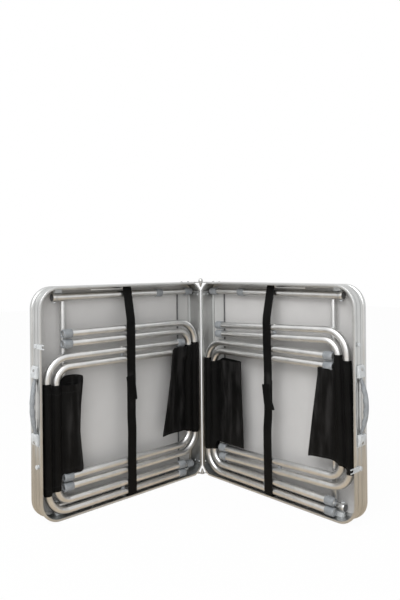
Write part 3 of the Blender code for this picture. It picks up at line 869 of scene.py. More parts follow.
@dataclass
class CaseHalf:
    """One half of the case: its rim and spine bar, with the rivets and strips on them."""

    side: Side
    shop: Workshop
    place: Matrix
    width: float
    height: float
    depth: float = 0.052
    lip: float = 0.0005
    spine: float = 0.0005
    outer_corner: float = 0.057
    spine_corner: float = 0.027
    spine_joint: float = 0.003
    bead: float = 0.0030
    lip_bead: float = 0.0065
    back_bead: float = 0.0090
    bead_slope: float = 0.0015
    edge: float = 0.0008
    wall: float = 0.0022
    rim_flange: float = 0.0060
    spine_flange: float = 0.0035
    flange_wall: float = 0.0020
    ledge_reach: float = 0.0120
    ledge_wall: float = 0.0020
    panel: float = 0.0042
    panel_sink: float = 0.0003
    groove: float = 0.0006
    groove_half: float = 0.0010
    groove_places: tuple[float, ...] = (0.0185, 0.0345)
    corner_steps: int = 20
    rounding: float = 0.0004
    sharp: float = 32.0
    relief: float = 0.72
    relief_d: Pair = (0.006, 0.022)
    leaf_out: float = 0.0003
    leaf_rivet: float = 0.0034
    leaf_rivet_lift: float = 0.0030
    leaf_rivet_u: Pair = (0.030, 0.057)
    leaf_rivet_d: float = 0.0255
    spine_rivet: Pair = (0.0026, 0.0014)
    spine_rivet_d: Pair = (0.0085, 0.0255)
    spine_rivet_end: float = 0.0385
    # A dark strip of painted shade along the brace's edge.
    shade_strip_u: Pair = (0.0562, 0.0600)
    shade_strip_ends: float = 0.0305
    shade_strip_height: float = 0.0040
    shade_strip_rounding: float = 0.0006
    stay_u: Pair = (0.288, 0.392)
    stay_d: Pair = (0.0150, 0.0162)
    stay_inset: float = 0.0055
    stay_width: float = 0.0026
    stay_rounding: float = 0.0003
    stay_post: Pair = (0.0022, 0.0090)

    @property
    def name(self) -> str:
        """The half's name."""
        return self.side.value

    @property
    def body(self) -> str:
        """The body that the half rides."""
        return f"{self.name}_case"

    @property
    def rim_finish(self) -> Finish:
        """The rim's finish, with its lines along this half's own rim."""
        return Finish.RIM_LEFT if self.side is Side.LEFT else Finish.RIM_RIGHT

    def profile(self, flange: float) -> list[Pair]:
        """The rim's section.

        Args:
            flange: how far the lip reaches inwards.

        Returns:
            Corners as the distance in from the outermost face, and the depth.
        """
        back = self.lip + self.depth
        inner = self.bead + self.wall
        ledge = back - self.panel_sink - self.panel - GAP
        corners = [
            (self.edge, self.lip),
            (0.0, self.lip + self.edge),
            (0.0, self.lip + self.lip_bead),
            (self.bead, self.lip + self.lip_bead + self.bead_slope),
        ]
        for middle in self.groove_places:
            corners += [
                (self.bead, middle - 2 * self.groove_half),
                (self.bead + self.groove, middle - self.groove_half),
                (self.bead + self.groove, middle + self.groove_half),
                (self.bead, middle + 2 * self.groove_half),
            ]
        return corners + [
            (self.bead, back - self.back_bead - self.bead_slope),
            (0.0, back - self.back_bead),
            (0.0, back - self.edge),
            (self.edge, back),
            (self.wall, back),
            (self.wall, ledge),
            (self.ledge_reach, ledge),
            (self.ledge_reach, ledge - self.ledge_wall),
            (inner, ledge - self.ledge_wall),
            (inner, self.lip + self.flange_wall),
            (flange, self.lip + self.flange_wall),
            (flange, self.lip),
        ]

    def build_rim(self) -> None:
        """Bend the rim round three sides of the half, with a straight bar down the spine."""
        small, large, top = self.spine_corner, self.outer_corner, self.height
        joint = small + self.spine_joint
        inner_u, outer_u = self.spine + small, self.width - large
        start = [(self.spine + inward, depth, joint) for inward, depth in self.profile(self.rim_flange)]
        level, steps = (0, -1, 0), self.corner_steps
        bench = Bench(f"{self.name}_rim", start).extrude((0, 0, small - joint))
        bench.turn(90, (inner_u, 0, small), level, steps // 2).extrude((outer_u - inner_u, 0, 0))
        bench.turn(90, (outer_u, 0, large), level, steps).extrude((0, 0, top - 2 * large))
        bench.turn(90, (outer_u, 0, top - large), level, steps).extrude((inner_u - outer_u, 0, 0))
        bench.turn(90, (inner_u, 0, top - small), level, steps // 2).extrude((0, 0, small - joint)).cap()
        self.relieve(bench.piece)
        rim = bench.finish(self.place, bevel=self.rounding, angle=self.sharp)
        self.shop.fit(rim, self.rim_finish, self.body, f"{self.name}_case_rim")
        low = joint + GAP
        start = [(self.spine + inward, depth, low) for inward, depth in self.profile(self.spine_flange)]
        bench = Bench(f"{self.name}_spine", start).extrude((0, 0, top - 2 * low)).cap()
        bar = bench.finish(self.place, bevel=self.rounding, angle=self.sharp)
        self.shop.fit(bar, self.rim_finish, self.body, f"{self.name}_spine_bar")

    def relieve(self, rim: Piece) -> None:
        """Ease the front of the rim's two spine corners, where the halves meet, towards straight cuts.

        Args:
            rim: the rim, in edit mode.
        """
        corner, reach = self.spine_corner, math.radians(45)
        for vertex in bmesh.from_edit_mesh(rim.data).verts:
            u, d, w = vertex.co
            high = w > self.height / 2
            middle = Vector((self.spine + corner, 0, self.height - corner if high else corner))
            out = Vector((middle.x - u, 0, (w - middle.z) if high else (middle.z - w)))
            if min(out.x, out.z) < 0 or out.length < 1e-6:
                continue
            turned = abs(math.atan2(out.z, out.x) - reach)
            eased = self.relief * (1 - smooth(*self.relief_d, d))
            cut = eased * corner * (1 - math.cos(reach) / math.cos(turned))
            share = 1 - cut / corner
            vertex.co.x = middle.x - out.x * share
            vertex.co.z = middle.z + (out.z if high else -out.z) * share

    def rivet(self, name: str, place: Point, out: Point, size: Point, finish: Finish) -> None:
        """Set one domed rivet.

        Args:
            name: the rivet's name, without the half's.
            place: its foot in the half's frame.
            out: the way it points.
            size: its radius, and how far it stands out.
            finish: its finish.
        """
        way, (radius, height) = Vector(out), size
        side = way.orthogonal().normalized()
        stand = self.place @ axes(side, way.cross(side), way, place)
        dome = ((1.0, -0.25), (1.0, 0.25), (0.9, 0.55), (0.68, 0.82), (0.38, 0.96), (0.12, 1.0))
        profile = [(radius * r, height * h) for r, h in dome]
        self.shop.turn(f"{self.name}_{name}", profile, stand, finish, self.body, corners=16, angle=50)

    def build_rivets(self) -> None:
        """Rivets on the hinge leaves and on the spine walls."""
        outside = "a" if self.side is Side.LEFT else "b"
        for end, level, out in (("a", self.leaf_out, -1), ("b", self.height - self.leaf_out, 1)):
            size = (self.leaf_rivet, self.leaf_rivet_lift if end == outside else self.leaf_out)
            for number, u in enumerate(self.leaf_rivet_u):
                place = (u, self.leaf_rivet_d, level)
                self.rivet(f"leaf_rivet_{end}{number}", place, (0, 0, out), size, Finish.STEEL)
        inner = self.spine + self.bead + self.wall
        for end, w in (("low", self.spine_rivet_end), ("high", self.height - self.spine_rivet_end)):
            for number, d in enumerate(self.spine_rivet_d):
                name = f"spine_rivet_{end}{number}"
                self.rivet(name, (inner, d, w), (1, 0, 0), self.spine_rivet, Finish.BRACKET)

    def strip(self, name: str, low: Point, high: Point, finish: Finish, bevel: float) -> None:
        """Lay one flat strip between two corners in the half's frame.

        Args:
            name: the strip's name, without the half's.
            low: its lowest corner.
            high: its highest corner.
            finish: its finish.
            bevel: the rounding of its edges.
        """
        (u0, d0, w0), (u1, d1, w1) = low, high
        outline = [(u0, d0, w0), (u1, d0, w0), (u1, d1, w0), (u0, d1, w0)]
        bench = Bench(f"{self.name}_{name}", outline).extrude((0, 0, w1 - w0)).cap()
        self.shop.fit(bench.finish(self.place, bevel=bevel), finish, self.body)

    def build_strips(self) -> None:
        """A dark strip of painted shade along the brace's edge, and the thin stay beside each leg on its two
        posts.
        """
        # The dark strip stands in for the shade cast along the brace's edge.
        under = self.lip + self.depth - self.panel_sink - self.panel
        near, far = self.shade_strip_u
        low = (near, under - self.shade_strip_height, self.shade_strip_ends)
        high = (far, under - GAP, self.height - self.shade_strip_ends)
        self.strip("brace_trim", low, high, Finish.TRIM, self.shade_strip_rounding)
        wall = self.bead + self.wall
        (near, far), (front, back) = self.stay_u, self.stay_d
        last = self.height - wall - self.stay_inset - self.stay_width
        ends = (("a", wall + self.stay_inset, wall, 1), ("b", last, self.height - wall, -1))
        for end, w, foot, out in ends:
            low, high = (near, front, w), (far, back, w + self.stay_width)
            self.strip(f"stay_{end}", low, high, Finish.TUBE, self.stay_rounding)
            for number, u in enumerate(self.stay_u):
                place = (u, (front + back) / 2, foot)
                self.rivet(f"stay_post_{end}{number}", place, (0, 0, out), self.stay_post, Finish.STEEL)

    def build(self) -> None:
        """Make the rim, rivets and strips."""
        self.build_rim()
        self.build_rivets()
        self.build_strips()


@dataclass
class Handle:
    """A handle on the outer face: two moulded brackets and the grip that swings in them."""

    half: CaseHalf
    rest: float
    axis_out: float = 0.0020
    axis_depth: float = 0.0245
    bow: float = 0.0120
    reach: float = 0.0640
    radius: float = 0.0063
    stub: float = 0.0030
    stub_length: float = 0.0170
    shoulder: float = 0.0025
    taper: float = 0.33
    waves: int = 5
    wave: float = 0.0006
    stations: int = 60
    corners: int = 24
    bracket_gap: float = 0.0058
    bracket_length: float = 0.031
    bracket_width: float = 0.028
    bracket_cover: float = 0.0050
    bracket_flat: float = 0.012
    bracket_toe: float = 0.003
    bracket_heel: float = 0.003
    bracket_nose: float = 0.002
    bracket_rounding: float = 0.0032
    screw: Steps = (
        (0.0040, -0.002), (0.0040, 0.0004), (0.0034, 0.0009), (0.0022, 0.0009), (0.0020, 0.0001),
    )
    screw_share: float = 0.55

    def build_grip(self) -> None:
        """The grip: a bowed bar with finger waves and a stub at each end."""
        half = self.half
        stub, shoulder = self.reach + self.stub_length, self.reach + self.shoulder
        line = [(0.0, -stub, self.stub), (0.0, -shoulder, self.stub)]
        for i in range(self.stations + 1):
            share = 2 * i / self.stations - 1
            ripple = self.wave * math.cos(math.pi * self.waves * share) * (1 - share**4)
            swell = self.radius * (1 - share**4 * self.taper) - ripple
            line.append((self.bow * (1 - share**2) + ripple, self.reach * share, swell))
        line += [(0.0, shoulder, self.stub), (0.0, stub, self.stub)]
        out, w, radius = line[0]
        bench = Bench(f"{half.name}_grip", ring_points(radius, w, self.corners))
        for next_out, next_w, next_radius in line[1:]:
            bench.extrude((next_out - out, 0, next_w - w)).resize(next_radius / radius, (next_out, 0, next_w))
            out, w, radius = next_out, next_w, next_radius
        middle = Matrix.Translation((half.width + self.axis_out, self.axis_depth, half.height / 2))
        swing = Matrix.Rotation(math.radians(self.rest), 4, "Z")
        piece = bench.cap().finish(half.place @ middle @ swing, angle=50)
        half.shop.fit(piece, Finish.CAP, f"{half.name}_grip", f"{half.name}_handle_grip")

    def build_bracket(self, end: str, sign: int) -> None:
        """One moulded bracket, wedge-shaped, with a screw on its slope.

        Args:
            end: the bracket's letter.
            sign: which way it lies along the spine, -1 or 1.
        """
        half, wide = self.half, self.bracket_width / 2
        base = half.width - half.bead + GAP
        top = half.width + self.axis_out + self.bracket_cover
        near = self.reach + self.bracket_gap
        far = near + self.bracket_length
        toe = base + self.bracket_toe
        high, low = (near + self.bracket_flat, top), (far - self.bracket_heel, toe + self.bracket_heel)
        nose = [(near + self.bracket_nose, top), (near, top - self.bracket_nose)]
        side = [(near, base), (far, base), (far, toe), low, high, *nose]
        outline = [(along, -wide, out) for along, out in side]
        middle = (0, self.axis_depth, half.height / 2)
        stand = half.place @ axes((0, 0, sign), (0, -1, 0), (1, 0, 0), middle)
        bench = Bench(f"{half.name}_bracket_{end}", outline).extrude((0, self.bracket_width, 0)).cap()
        piece = bench.finish(stand, bevel=self.bracket_rounding, angle=28, segments=4)
        half.shop.fit(piece, Finish.BRACKET, half.body, f"{half.name}_handle_bracket_{end}")
        first, last = Vector((high[0], 0, high[1])), Vector((low[0], 0, low[1]))
        slope = (last - first).normalized()
        out = Vector((-slope.z, 0, slope.x))
        seat = stand @ axes(slope, out.cross(slope), out, first.lerp(last, self.screw_share))
        name = f"{half.name}_bracket_screw_{end}"
        half.shop.turn(name, self.screw, seat, Finish.STEEL, half.body, corners=20, angle=30)

    def build(self) -> None:
        """Make the grip and both brackets."""
        self.build_grip()
        for end, sign in (("a", -1), ("b", 1)):
            self.build_bracket(end, sign)


@dataclass
class LegFrame:
    """Two telescopic legs with plastic collars and feet, joined by a crossbar."""

    half: CaseHalf
    edge: float = 0.029
    depth: float = 0.034
    tube: float = 0.0100
    cap: float = 0.0115
    cap_length: float = 0.012
    pivot_inset: float = 0.059
    tail: float = 0.007
    mouth: float = 0.1403
    extension: float = 0.0082
    extension_start: float = 0.006
    extension_end: float = 0.340
    collar_length: float = 0.024
    collar_lip: float = 0.008
    foot_end: float = 0.0125
    foot_length: float = 0.0275
    crossbar: float = 0.0070
    crossbar_offset: float = 0.024
    crossbar_end: Steps = ((0.80, 0.0), (0.82, 0.004), (1.0, 0.012))

    def along(self, end: str) -> Matrix:
        """The matrix whose Z runs along one leg, from the spine outwards."""
        w = self.edge if end == "a" else self.half.height - self.edge
        return self.half.place @ axes((0, 1, 0), (0, 0, 1), (1, 0, 0), (0, self.depth, w))

    def build_leg(self, end: str) -> None:
        """One leg: its tube, end cap, plug, collar, extension and foot.

        Args:
            end: the leg's letter.
        """
        half, line, wide = self.half, self.along(end), self.cap
        last = half.width - self.pivot_inset + self.tail
        seam, stop = last - self.cap_length, self.mouth - GAP
        low, high = stop - self.collar_lip, stop + self.collar_length - self.collar_lip
        bore, sleeve = self.extension + GAP, self.tube + GAP
        toe, mouth = self.foot_end, self.foot_end + self.foot_length
        tube = [*rings(self.tube, self.mouth, ((-0.0012, 0), (0, 0.0006))), (self.tube, seam + 0.001)]
        cap = [(self.tube, seam - 0.0004), *rings(wide, seam, ((-0.0004, 0), (0, 0.0006)))]
        cap += rings(wide, last, ((0, -0.0022), (-0.0006, -0.0008), (-0.0018, -0.0004), (-0.0026, -0.0030)))
        plug = rings(wide, last, ((-0.0028, -0.0040), (-0.0020, -0.0010), (-0.0024, -0.0002)))
        plug += rings(wide, last, ((-0.0036, 0), (-0.0060, -0.0001)))
        collar = [(bore, low), *rings(wide, low, ((-0.0010, 0), (0, 0.0010), (0, 0.0052)))]
        collar += rings(wide, low, ((-0.0006, 0.0058), (-0.0006, 0.0070), (0, 0.0076)))
        collar += rings(wide, high, ((0, -0.0010), (-0.0010, 0)))
        collar += [(sleeve, high), (sleeve, stop), (bore, stop)]
        inner = [(self.extension, toe + self.extension_start), (self.extension, self.extension_end)]
        foot = [(self.extension, mouth), *rings(wide, mouth, ((-0.0006, 0), (0, -0.0006), (0, -0.0050)))]
        foot += rings(wide, mouth, ((-0.0005, -0.0056), (-0.0005, -0.0070), (0, -0.0076)))
        foot += rings(wide, toe, ((0, 0.0034), (-0.0012, 0.0012), *HOLLOW_END))
        legs, slide = f"{half.name}_legs", f"{half.name}_extension_{end}"
        for name, profile, finish, body, node in (
            ("leg_tube", tube, Finish.TUBE, legs, "leg"),
            ("leg_end", cap, Finish.TUBE, legs, None),
            ("leg_plug", plug, Finish.TRIM, legs, None),
            ("collar", collar, Finish.CAP, legs, "leg_collar"),
            ("extension_tube", inner, Finish.TUBE, slide, "leg_extension"),
            ("foot", foot, Finish.CAP, slide, "leg_foot"),
        ):
            nodes = [f"{half.name}_{node}_{end}"] if node else []
            full_name, bored = f"{half.name}_{name}_{end}", profile is collar
            half.shop.turn(full_name, profile, line, finish, body, *nodes, closed=bored)

    def build_crossbar(self) -> None:
        """The bar between the legs, drawn in a little where it meets them."""
        half, thick = self.half, self.crossbar
        reach = half.height / 2 - self.edge - self.tube - GAP
        bar = [(thick * share, on - reach) for share, on in self.crossbar_end]
        bar += [(thick * share, reach - on) for share, on in reversed(self.crossbar_end)]
        u = half.width - self.pivot_inset - self.crossbar_offset
        place = half.place @ Matrix.Translation((u, self.depth, half.height / 2))
        name, node = f"{half.name}_crossbar", f"{half.name}_leg_crossbar"
        half.shop.turn(name, bar, place, Finish.TUBE, f"{half.name}_legs", node, corners=28)

    def build(self) -> None:
        """Make both legs and the crossbar."""
        for end in ("a", "b"):
            self.build_leg(end)
        self.build_crossbar()


# ---------------------------------------------------------------- the stools


@dataclass
class Stool:
    """A folded stool: two U frames on one pair of pivots, one inside the other, and its sling seat.

    The fold's table gives how far the sling hangs at places along the crossbar.
    """

    berth: str
    half: CaseHalf
    u: float
    w: float
    turned: bool
    tilt: float
    fold: Steps
    roll: float
    over_foot: bool
    outer_reach: Pair
    inner_reach: Pair
    free_end: float
    mouth: float
    depth: float = 0.0125
    length: float = 0.462
    half_width: float = 0.199
    pitch: float = 0.026
    tube: float = 0.0095
    cap: float = 0.0120
    cap_length: float = 0.026
    tube_end: float = 0.003
    outer_bend: float = 0.060
    inner_bend: float = 0.040
    bend_steps: int = 16
    corners: int = 32
    spacer: float = 0.0060
    pivot_head: Steps = ((0.0046, -0.0012), (0.0046, 0.0004), (0.0036, 0.0014), (0.0014, 0.0018))
    sleeve: float = 0.0107
    slack: float = 0.0008
    hem: float = 0.002
    cloth: float = 0.0009
    near_end: float = -0.102
    near_span: float = 0.02
    foot_start: float = 0.043
    foot_rise: Pair = (0.034, 0.046)
    foot_cover: float = 0.0024
    draw_span: Pair = (0.54, 0.64)
    front_span: Pair = (0.46, 0.60)
    front_share: float = 0.56
    hang: float = 0.034
    arch: float = 0.4

    @property
    def name(self) -> str:
        """The stool's name."""
        return f"{self.berth}_stool"

    @property
    def place(self) -> Matrix:
        """The matrix from the stool's frame to the row frame.

        Returns:
            The matrix.
        """
        turn = Matrix.Rotation(math.pi if self.turned else 0.0, 4, "Y")
        lean = Matrix.Rotation(math.radians(self.tilt), 4, "Y")
        middle = Vector((self.length / 2, 0, 0))
        centre = Matrix.Translation(Vector((self.u, self.depth, self.w)) + turn @ middle)
        return self.half.place @ centre @ lean @ turn @ Matrix.Translation(-middle)

    def build_frame(self, part: str, body: str, cross: float, half_width: float, bend: float) -> None:
        """Bend one U frame and put caps on its feet.

        Args:
            part: the frame's name, outer or inner.
            body: the body that carries it.
            cross: where its crossbar is.
            half_width: half the distance between its feet.
            bend: the radius of its bends.
        """
        shop, feet = self.half.shop, self.length - self.tube_end
        ring = [Vector((feet, p.x, p.y - half_width)) for p in ring_points(self.tube, 0, self.corners)]
        straight = cross + bend - feet
        bench = Bench(f"{self.name}_{part}_tube", ring).extrude((straight, 0, 0))
        bench.turn(90, (cross + bend, 0, bend - half_width), (0, 1, 0), self.bend_steps)
        bench.extrude((0, 0, 2 * (half_width - bend)))
        bench.turn(90, (cross + bend, 0, half_width - bend), (0, 1, 0), self.bend_steps)
        piece = bench.extrude((-straight, 0, 0)).cap().finish(self.place)
        shop.fit(piece, Finish.TUBE, body, f"{self.name}_{part}_frame")
        mouth = self.length - self.cap_length
        cap = [(self.tube, mouth - 0.0006)]
        cap += rings(self.cap, mouth, ((-0.0008, -0.0006), (-0.0002, 0), (0, 0.0008)))
        end_steps = ((-0.0002, 0.0060), (-0.0006, 0.0026), (-0.0018, 0.0008), *HOLLOW_END)
        cap += rings(self.cap, self.length, end_steps, -1)
        for end, z in (("a", -half_width), ("b", half_width)):
            stand = self.place @ axes((0, 1, 0), (0, 0, 1), (1, 0, 0), (0, 0, z))
            shop.turn(f"{self.name}_{part}_cap_{end}", cap, stand, Finish.CAP, body)

    def build_pivots(self) -> None:
        """The pivots: a spacer between the frames, and a rivet head outside each tube."""
        shop, name = self.half.shop, self.name
        inside = self.half_width - self.pitch + self.tube + GAP
        outside = self.half_width - self.tube + 0.0004
        bush = rings(self.spacer, inside, ((-0.0010, 0), (0, 0.0008), (0, 0.0020), (-0.0016, 0.0026)))
        bush += rings(self.spacer, outside, ((-0.0016, -0.0026), (0, -0.0020), (0, 0)))
        head = rings(0, self.half_width + self.tube, self.pivot_head)
        for end, sign in (("a", -1), ("b", 1)):
            stand = self.place @ axes((1, 0, 0), (0, sign, 0), (0, 0, sign), (self.length / 2, 0, 0))
            shop.turn(f"{name}_spacer_{end}", bush, stand, Finish.CAP, name, corners=24)
            shop.turn(f"{name}_rivet_{end}", head, stand, Finish.STEEL, name, corners=20, angle=50)

    def crumple(self, along: float, z: float, size: float) -> float:
        """A wrinkle's depth at a place on the cloth, the same on every run.

        Args:
            along: the place away from the crossbar.
            z: the place along the crossbar.
            size: the deepest wrinkles' size.

        Returns:
            The depth.
        """
        seed = self.u * 40 + self.w * 90
        broad = noise.noise(Vector((along * 26, z * 9 + seed, seed)))
        fine = noise.noise(Vector((along * 70, z * 30 - seed, seed * 2)))
        return size * (broad + 0.45 * fine)

    def build_sleeve(self, part: str, body: str, cross: float, bend: float, reach: Point) -> None:
        """One sleeve of the sling, drawn over a crossbar and a little way round its bends.

        Args:
            part: the sleeve's name, outer or inner.
            body: the body that carries it.
            cross: where its crossbar is.
            bend: the radius of the frame's bends.
            reach: where the sleeve starts and ends.
        """
        girth, (low, high) = 2 * math.pi * self.sleeve, reach
        pinch, pinch_reach, gather, gathers, drift = 0.0004, 0.012, 0.0003, 9, 60
        half_width = self.half_width if part == "outer" else self.half_width - self.pitch
        straight = half_width - bend

        def lay(along: float, across: float) -> Point:
            """Lay one point of the sheet.

            Args:
                along: the share of the way along the wrap.
                across: the share of the way across it.

            Returns:
                Its place.
            """
            angle = 2 * math.pi * along + math.pi / 2
            z = low + (high - low) * across
            past = max(0.0, abs(z) - straight)
            curve = bend - math.sqrt(bend**2 - past**2)
            drawn = pinch * max(smooth(high - pinch_reach, high, z), 1 - smooth(low, low + pinch_reach, z))
            radius = self.sleeve + gather * math.sin(gathers * angle + z * drift) - drawn
            return (cross + curve + radius * math.cos(angle), radius * math.sin(angle), z)

        cloth = Cloth(f"{self.name}_{part}_sleeve", 32, 40, lay)
        cloth.map(lambda along, across: (girth * along, low + (high - low) * across))
        piece = cloth.finish(self.place, self.cloth)
        self.half.shop.fit(piece, Finish.SEAT, body)
        high - low

    def wrap(self, z: float) -> list[Vector]:
        """The sling's line from the outer sleeve's front, round its fold, to the inner sleeve's back.

        Args:
            z: the place along the crossbar.

        Returns:
            Points of x and y.
        """
        skin, valley, press = self.sleeve + self.slack, 0.0030, 0.0002
        tuck, tuck_at, tuck_reach, tuck_roll = 0.0030, 0.14, 0.12, 0.012
        front_belly, front_crease, back_belly, back_crease = 0.0008, 0.0026, 0.0018, 0.0016
        front_steps, back_steps, meet_degrees = 16, 15, 72
        tip, roll = between(self.fold, z), self.roll / 2
        inner = Vector((self.pitch, 0))

        def on(centre: Vector, radius: float, degrees: float) -> Vector:
            """A point on a circle."""
            angle = math.radians(degrees)
            return centre + radius * Vector((math.cos(angle), math.sin(angle)))

        line = [on(Vector((0, 0)), skin, angle) for angle in range(-115, -20, 15)]
        line.append(Vector((self.pitch / 2, -valley)))
        line += [on(inner, skin, angle) for angle in range(-160, -45, 15)]
        start = line[-1].copy()
        middle = Vector((tip - roll, roll - skin))
        end = on(middle, roll, -90)
        for i in range(1, front_steps):
            share = i / front_steps
            point = start.lerp(end, share)
            dip = tuck * math.exp(-(((share - tuck_at) / tuck_reach) ** 2)) * (1 + self.roll / tuck_roll)
            belly = math.sin(math.pi * share) * (front_belly + self.crumple(point.x, z, front_crease))
            point.y = max(-skin - press, point.y + dip + belly)
            line.append(point)
        line += [on(middle, roll, -90 + 15 * i) for i in range(13)]
        fold_back = line[-1].copy()
        meet = on(inner, skin, meet_degrees)
        for i in range(1, back_steps):
            share = i / back_steps
            point = fold_back.lerp(meet, share)
            point.y += math.sin(math.pi * share) * (back_belly + self.crumple(point.x + 0.3, z, back_crease))
            line.append(point)
        return line + [on(inner, skin, meet_degrees + 14 * i) for i in range(5)]

    def edges(self, x: float, along: float) -> Point:
        """Where the sling's two edges are, drawn in beside the neighbour's feet and along its open mouth.

        Args:
            x: the distance from the outer crossbar.
            along: the share of the way from the outer sleeve to the inner one.

        Returns:
            The lower and upper edges' places along the crossbar.
        """
        over = smooth(0.0, self.pitch, x) if along < 0.5 else 1.0
        sleeve_low, sleeve_high = (
            outer + (inner - outer) * over for outer, inner in zip(self.outer_reach, self.inner_reach)
        )
        low, high = sleeve_low + self.hem, sleeve_high - self.hem
        drawn = smooth(self.pitch + self.hem, self.foot_start + 0.001, x)
        if self.over_foot:
            drawn *= smooth(*self.draw_span, along)
        arch = self.arch * (1 - math.sin(math.pi * max(0.0, 2 * along - 1)))
        front = 1 - smooth(*self.front_span, along)
        top = self.free_end - self.mouth * max(front, arch)
        hang = smooth(self.pitch + self.hem, self.pitch + self.hang, x)
        return (low + (self.near_end - low) * drawn, high + (top - high) * hang)

    def build_sling(self) -> None:
        """The sling, hanging in a fold between the two crossbars."""
        rows, columns = 72, 48
        low, high = max(self.outer_reach[0], self.inner_reach[0]) + self.hem, self.free_end
        lines = [self.wrap(low + (high - low) * j / columns) for j in range(columns + 1)]
        lengths = [lengths_along(line, lambda before, after: (after - before).length) for line in lines]

        def lay(along: float, across: float) -> Point:
            """Lay one point of the sheet.

            Args:
                along: the share of the way along the wrap.
                across: the share of the way across it.

            Returns:
                Its place.
            """
            column = round(across * columns)
            point = point_along(lines[column], lengths[column], along)
            near_edge, far_edge = self.edges(point.x, along)
            z = near_edge + (far_edge - near_edge) * across
            near = 1 - smooth(self.near_end, self.near_end + self.near_span, z)
            if self.over_foot and along < self.front_share:
                ahead = near * smooth(*self.foot_rise, point.x)
                point.y += (-self.sleeve - self.foot_cover - point.y) * ahead
            return (point.x, point.y, z)

        cloth = Cloth(f"{self.name}_sling", rows, columns, lay)
        length = max(column[-1] for column in lengths)
        cloth.map(lambda along, across: (length * along, low + (high - low) * across))
        area = cloth.area()
        piece = cloth.finish(self.place, self.cloth)
        self.half.shop.paint(piece, Finish.SEAT)
        front = self.place @ Vector((0, -self.sleeve - self.slack, 0))
        back = self.place @ Vector((0, self.sleeve + 0.0002, 0))
        self.name
        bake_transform(piece)
        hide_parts(f"{self.name}_seat")
        flat = (high - low, length)
        min(area, flat[0] * flat[1])
        LOG.info("%s bends between %s and its inner frame", piece.name, self.name)

    def build(self) -> None:
        """Make the frames, pivots and seat."""
        inner = f"{self.name}_inner"
        self.build_frame("outer", self.name, 0.0, self.half_width, self.outer_bend)
        self.build_frame("inner", inner, self.pitch, self.half_width - self.pitch, self.inner_bend)
        self.build_pivots()
        self.build_sleeve("outer", self.name, 0.0, self.outer_bend, self.outer_reach)
        self.build_sleeve("inner", inner, self.pitch, self.inner_bend, self.inner_reach)
        self.build_sling()


